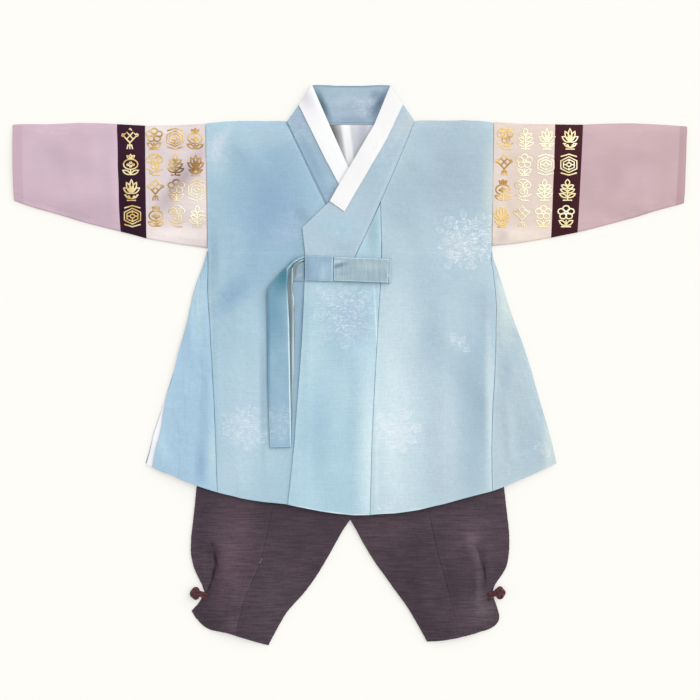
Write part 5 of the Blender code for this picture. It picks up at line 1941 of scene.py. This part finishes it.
@dataclass
class SleeveGilding:
    """The rows and columns of gold ornaments on the blush and wine cloths of both sleeves."""

    rows: tuple[float, ...] = (17.9, 45.4, 71.9, 99.4)
    right_columns: tuple[float, ...] = (-204.9, -183.0, -161.9)
    left_columns: tuple[float, ...] = (161.2, 182.2, 204.8)
    bands: tuple[float, float] = (-230.2, 228.9)

    def stamps(self, columns: tuple[float, ...], lean: float, first: int) -> tuple[Stamp, ...]:
        """Sets the ornaments out in a block.

        Args:
            columns: The middle of each column.
            lean: How far a column shifts sideways from each row to the next.
            first: Which design the block starts with.

        Returns:
            The ornaments, column by column.
        """
        designs = list(GiltDesign)
        return tuple(
            Stamp(designs[(first + 3 * c + 2 * r) % len(designs)], x + lean * (r - 1.5), drop)
            for c, x in enumerate(columns) for r, drop in enumerate(self.rows)
        )

    def make(self) -> list[Piece]:
        """Makes the four blocks of ornaments.

        Returns:
            One piece for each block.
        """
        # gold is the leaf where it is lit and brown where it is shaded; the pale patches are painted highlights, the
        # darker ones painted shade along the fold. Each wine band's two looks are its lit and shaded gold.
        gold, gold_in_shade, pale = (248, 214, 140), (190, 142, 72), (255, 250, 222)
        on_right = Gilding(
            "gold_on_blush_right", gold, gold_in_shade, 0.13,
            (
                PaintedLight(-180, 56, 60, 17, (112, 76, 34), 0.95, 54), PaintedLight(-164, 92, 40, 44, pale, 1.0),
                PaintedLight(-166, 84, 24, 30, pale, 1.0), PaintedLight(-200, 14, 14, 14, (150, 112, 56), 0.7),
            ),
        )
        on_left = Gilding(
            "gold_on_blush_left", gold, gold_in_shade, 0.3,
            (PaintedLight(206, 52, 40, 140, pale, 1.0), PaintedLight(186, 52, 20, 140, pale, 1.0)),
        )
        on_wine_right = Gilding("gold_on_wine_right", (252, 236, 186), (226, 190, 120), 0.57)
        on_wine_left = Gilding("gold_on_wine_left", (255, 248, 214), (246, 228, 170), 0.57)
        return [
            Gilt(
                "gilt_blush_right", "sleeve_blush_right_cloth", on_right, self.stamps(self.right_columns, 0.7, 0),
            ).make(),
            Gilt(
                "gilt_blush_left", "sleeve_blush_left_cloth", on_left, self.stamps(self.left_columns, -1.3, 2),
            ).make(),
            Gilt(
                "gilt_band_right", "sleeve_band_right_cloth", on_wine_right, self.stamps(self.bands[:1], 0.9, 4),
            ).make(),
            Gilt(
                "gilt_band_left", "sleeve_band_left_cloth", on_wine_left, self.stamps(self.bands[1:], -1.4, 1),
            ).make(),
        ]


# ---------------------------------------------------------------- ankles


@dataclass(frozen=True)
class Braid:
    """Round braided cord of wine silk, mottled deep and light in small patches: painted shade between the strands and
    painted highlights on them.
    """

    name: str
    deep: Look
    light: Look

    def material(self) -> Material:
        """Mixes the finish.

        Returns:
            The finished material.
        """
        graph = Finish(self.name)
        strands = graph.noise((0.5, 0.8, 0.6), 2.0, shift=0.2)
        patches = graph.noise((1.7,) * 3, 1.0, shift=0.6)
        share = graph.math("ADD", graph.math("MULTIPLY", strands, 0.6), graph.math("MULTIPLY", patches, 0.4))
        graph.emboss(strands, 0.6, 0.15)
        graph.fill(graph.shader, {
            # The mottle of deep and light is painted shade and painted highlights on the strands.
            "Base Color": graph.mix(graph.rise(share, 0.42, 0.6), dye(self.deep), dye(self.light)),
            "Roughness": graph.rise(strands, 0.3, 0.7, 0.5, 0.7),
            "Sheen Weight": 0.2,
        })
        return graph.made


@dataclass
class AnkleFastening:
    """A knotted ball and the cord loop that holds it, at the outer edge of one leg."""

    side: str
    out: int
    x: float
    drop: float
    leg: str
    finish: Braid
    cord: float = 1.75
    ring: float = 2.55
    swell: float = 1.9
    tall: float = 1.18
    flat: float = 0.95
    middle: float = 4.35
    core: tuple[float, float, float] = (4.1, 4.9, 3.0)
    core_middle: float = 4.3
    free: float = 4.6
    route: tuple[tuple[float, float, bool], ...] = (
        (-12.2, 2.0, False), (-10.2, 1.0, False), (-8.0, 0.1, False), (-5.2, -1.2, True), (-3.0, 0.0, True),
        (-4.4, 1.8, True), (-6.6, 2.4, True), (-8.8, 3.8, False), (-11.4, 7.6, False),
    )

    def cord_along(self, name: str, points: list[tuple[float, float, float]], closed: bool) -> Piece:
        """Lays a round cord through points.

        Args:
            name: The cord's name.
            points: The points in metres.
            closed: Whether the cord closes on itself.

        Returns:
            The cord's mesh.
        """
        cord = new_curve()
        spline = cord.data.splines.new("NURBS")
        spline.points.add(len(points) - 1)
        for spot, point in zip(spline.points, points):
            spot.co = (*point, 1)
        spline.order_u = 4
        spline.resolution_u = 3
        spline.use_cyclic_u = closed
        spline.use_endpoint_u = not closed
        cord = thicken(cord, self.cord, 3)
        cord.name = name
        return cord

    def ball(self) -> Piece:
        """Knots the ball: a cord wound three times round and four times through itself, over a firm core.

        Returns:
            The ball's mesh.
        """
        x, y = self.x, SHOULDER - self.drop
        points = []
        for turn in np.linspace(0.0, 2 * math.pi, 96, endpoint=False):
            about, through = 3 * turn, 4 * turn
            reach = self.ring + self.swell * math.cos(through)
            place = (x + reach * math.cos(about), y + self.tall * reach * math.sin(about),
                     self.middle + self.flat * self.swell * math.sin(through))
            points.append(tuple(part * MM for part in place))
        wound = self.cord_along(f"ankle_knot_{self.side}", points, True)
        middle = (x * MM, y * MM, self.core_middle * MM)
        bpy.ops.mesh.primitive_uv_sphere_add(segments=20, ring_count=12, radius=1.0, location=middle)
        core = bpy.context.object
        core.scale = tuple(size * MM for size in self.core)
        settle_in_place(core)
        pick(wound, core)
        bpy.ops.object.join()
        return wound

    def loop(self) -> Piece:
        """Lays the loop from the leg's edge round the neck of the ball and back.

        Returns:
            The loop's mesh.
        """
        under = Surface(self.leg)
        free, sunk = self.free * MM, 0.5 * self.cord * MM
        points = []
        for across, down, clear in self.route:
            x, y = (self.x + self.out * across) * MM, (SHOULDER - self.drop - down) * MM
            points.append((x, y, free if clear else under.height(x, y, free - sunk) + sunk))
        return self.cord_along(f"ankle_cord_{self.side}", points, False)

    def make(self) -> list[Piece]:
        """Makes the ball and the loop.

        Returns:
            The two pieces.
        """
        made = []
        for piece, node in ((self.ball(), f"ankle_button_{self.side}"), (self.loop(), f"ankle_loop_{self.side}")):
            with opened(piece):
                bpy.ops.mesh.remove_doubles(threshold=0.001 * MM)
                bpy.ops.mesh.normals_make_consistent(inside=False)
            bpy.ops.object.shade_smooth()
            piece.data.materials.clear()
            piece.data.materials.append(self.finish.material())
            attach(piece, "root")
            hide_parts(node)
            log.info("%s: %d faces", piece.name, len(piece.data.polygons))
            made.append(piece)
        return made


@dataclass
class Ankles:
    """Both ankle fastenings."""

    finish: Braid = Braid("wine_cord_braid", (22, 0, 6), (108, 30, 44))

    def make(self) -> list[Piece]:
        """Makes the fastenings of both legs.

        Returns:
            Each leg's ball and loop.
        """
        right = AnkleFastening("right", -1, -162.4, 495.6, "leg_side_right_cloth", self.finish)
        left = AnkleFastening("left", 1, 157.2, 495.0, "leg_side_left_cloth", self.finish)
        return [*right.make(), *left.make()]


@dataclass
class Studio:
    """A pale floor, soft light from the upper right, and a camera straight above."""

    middle: Point = (-0.0002, 0.0160)
    frame_width: float = 0.7375
    lens: float = 70.0
    sensor: float = 36.0
    key: float = 1.75
    key_tint: Tint = (1.0, 0.99, 0.965)
    fill: float = 0.666
    key_tilt: float = 45.0
    key_bearing: float = 42.0
    key_spread: float = 70.0
    glow: float = 0.4

    def floor(self) -> Piece:
        """Lays a pale floor that gives off a little light of its own, which keeps it evenly bright and its shadows
        faint.

        Returns:
            The floor.
        """
        pick_none()
        bpy.ops.mesh.primitive_plane_add(size=6.0, location=(0, 0, -0.0002))
        floor = bpy.context.object
        settle_in_place(floor)
        floor.name = "floor"
        paint = bpy.data.materials.new("floor_paint")
        paint.use_nodes = True
        shader = paint.node_tree.nodes["Principled BSDF"]
        pale = dye((255, 253, 248))
        shader.inputs["Base Color"].default_value = (*(value * (1 - self.glow) for value in pale), 1.0)
        shader.inputs["Emission Color"].default_value = (*pale, 1.0)
        shader.inputs["Emission Strength"].default_value = self.glow * LIGHT_LEVEL
        shader.inputs["Roughness"].default_value = 0.9
        shader.inputs["Specular IOR Level"].default_value = 0.1
        floor.data.materials.append(paint)
        return floor

    def light(self) -> None:
        """Sets a broad key from the upper right and an even fill from all round."""
        lamp = bpy.data.lights.new("key", "SUN")
        lamp.energy = self.key
        lamp.angle = math.radians(self.key_spread)
        lamp.color = self.key_tint
        key = add_object("key", lamp)
        tilt, bearing = math.radians(self.key_tilt), math.radians(self.key_bearing)
        towards = Vector((math.cos(bearing) * math.sin(tilt), math.sin(bearing) * math.sin(tilt), math.cos(tilt)))
        key.rotation_mode = "QUATERNION"
        key.rotation_quaternion = towards.to_track_quat("Z", "Y")
        world = bpy.data.worlds.new("studio")
        world.use_nodes = True
        back = world.node_tree.nodes["Background"]
        back.inputs["Color"].default_value = (1.0, 1.0, 1.0, 1.0)
        back.inputs["Strength"].default_value = self.fill
        bpy.context.scene.world = world
        bpy.context.scene.view_settings.view_transform = "Standard"

    def camera(self) -> None:
        """Hangs the camera straight above the middle."""
        data = bpy.data.cameras.new("camera")
        data.lens = self.lens
        data.sensor_width = self.sensor
        camera = add_object("camera", data)
        camera.location = (*self.middle, self.frame_width * self.lens / self.sensor)
        bpy.context.scene.camera = camera

    def make(self) -> None:
        """Sets up the floor, the light and the camera."""
        self.floor()
        self.light()
        self.camera()


def main() -> None:
    """Builds the set and the studio in order."""
    logging.basicConfig(level=logging.INFO, format="%(message)s")
    drape = Drape()
    Studio().make()
    for part in (Trousers(drape), Jacket(drape), Tie(drape), Sleeves(drape), SleeveGilding(), Ankles()):
        made = part.make()
        log.info("%s: %d pieces", type(part).__name__, len(made))


if __name__ == "__main__":
    main()
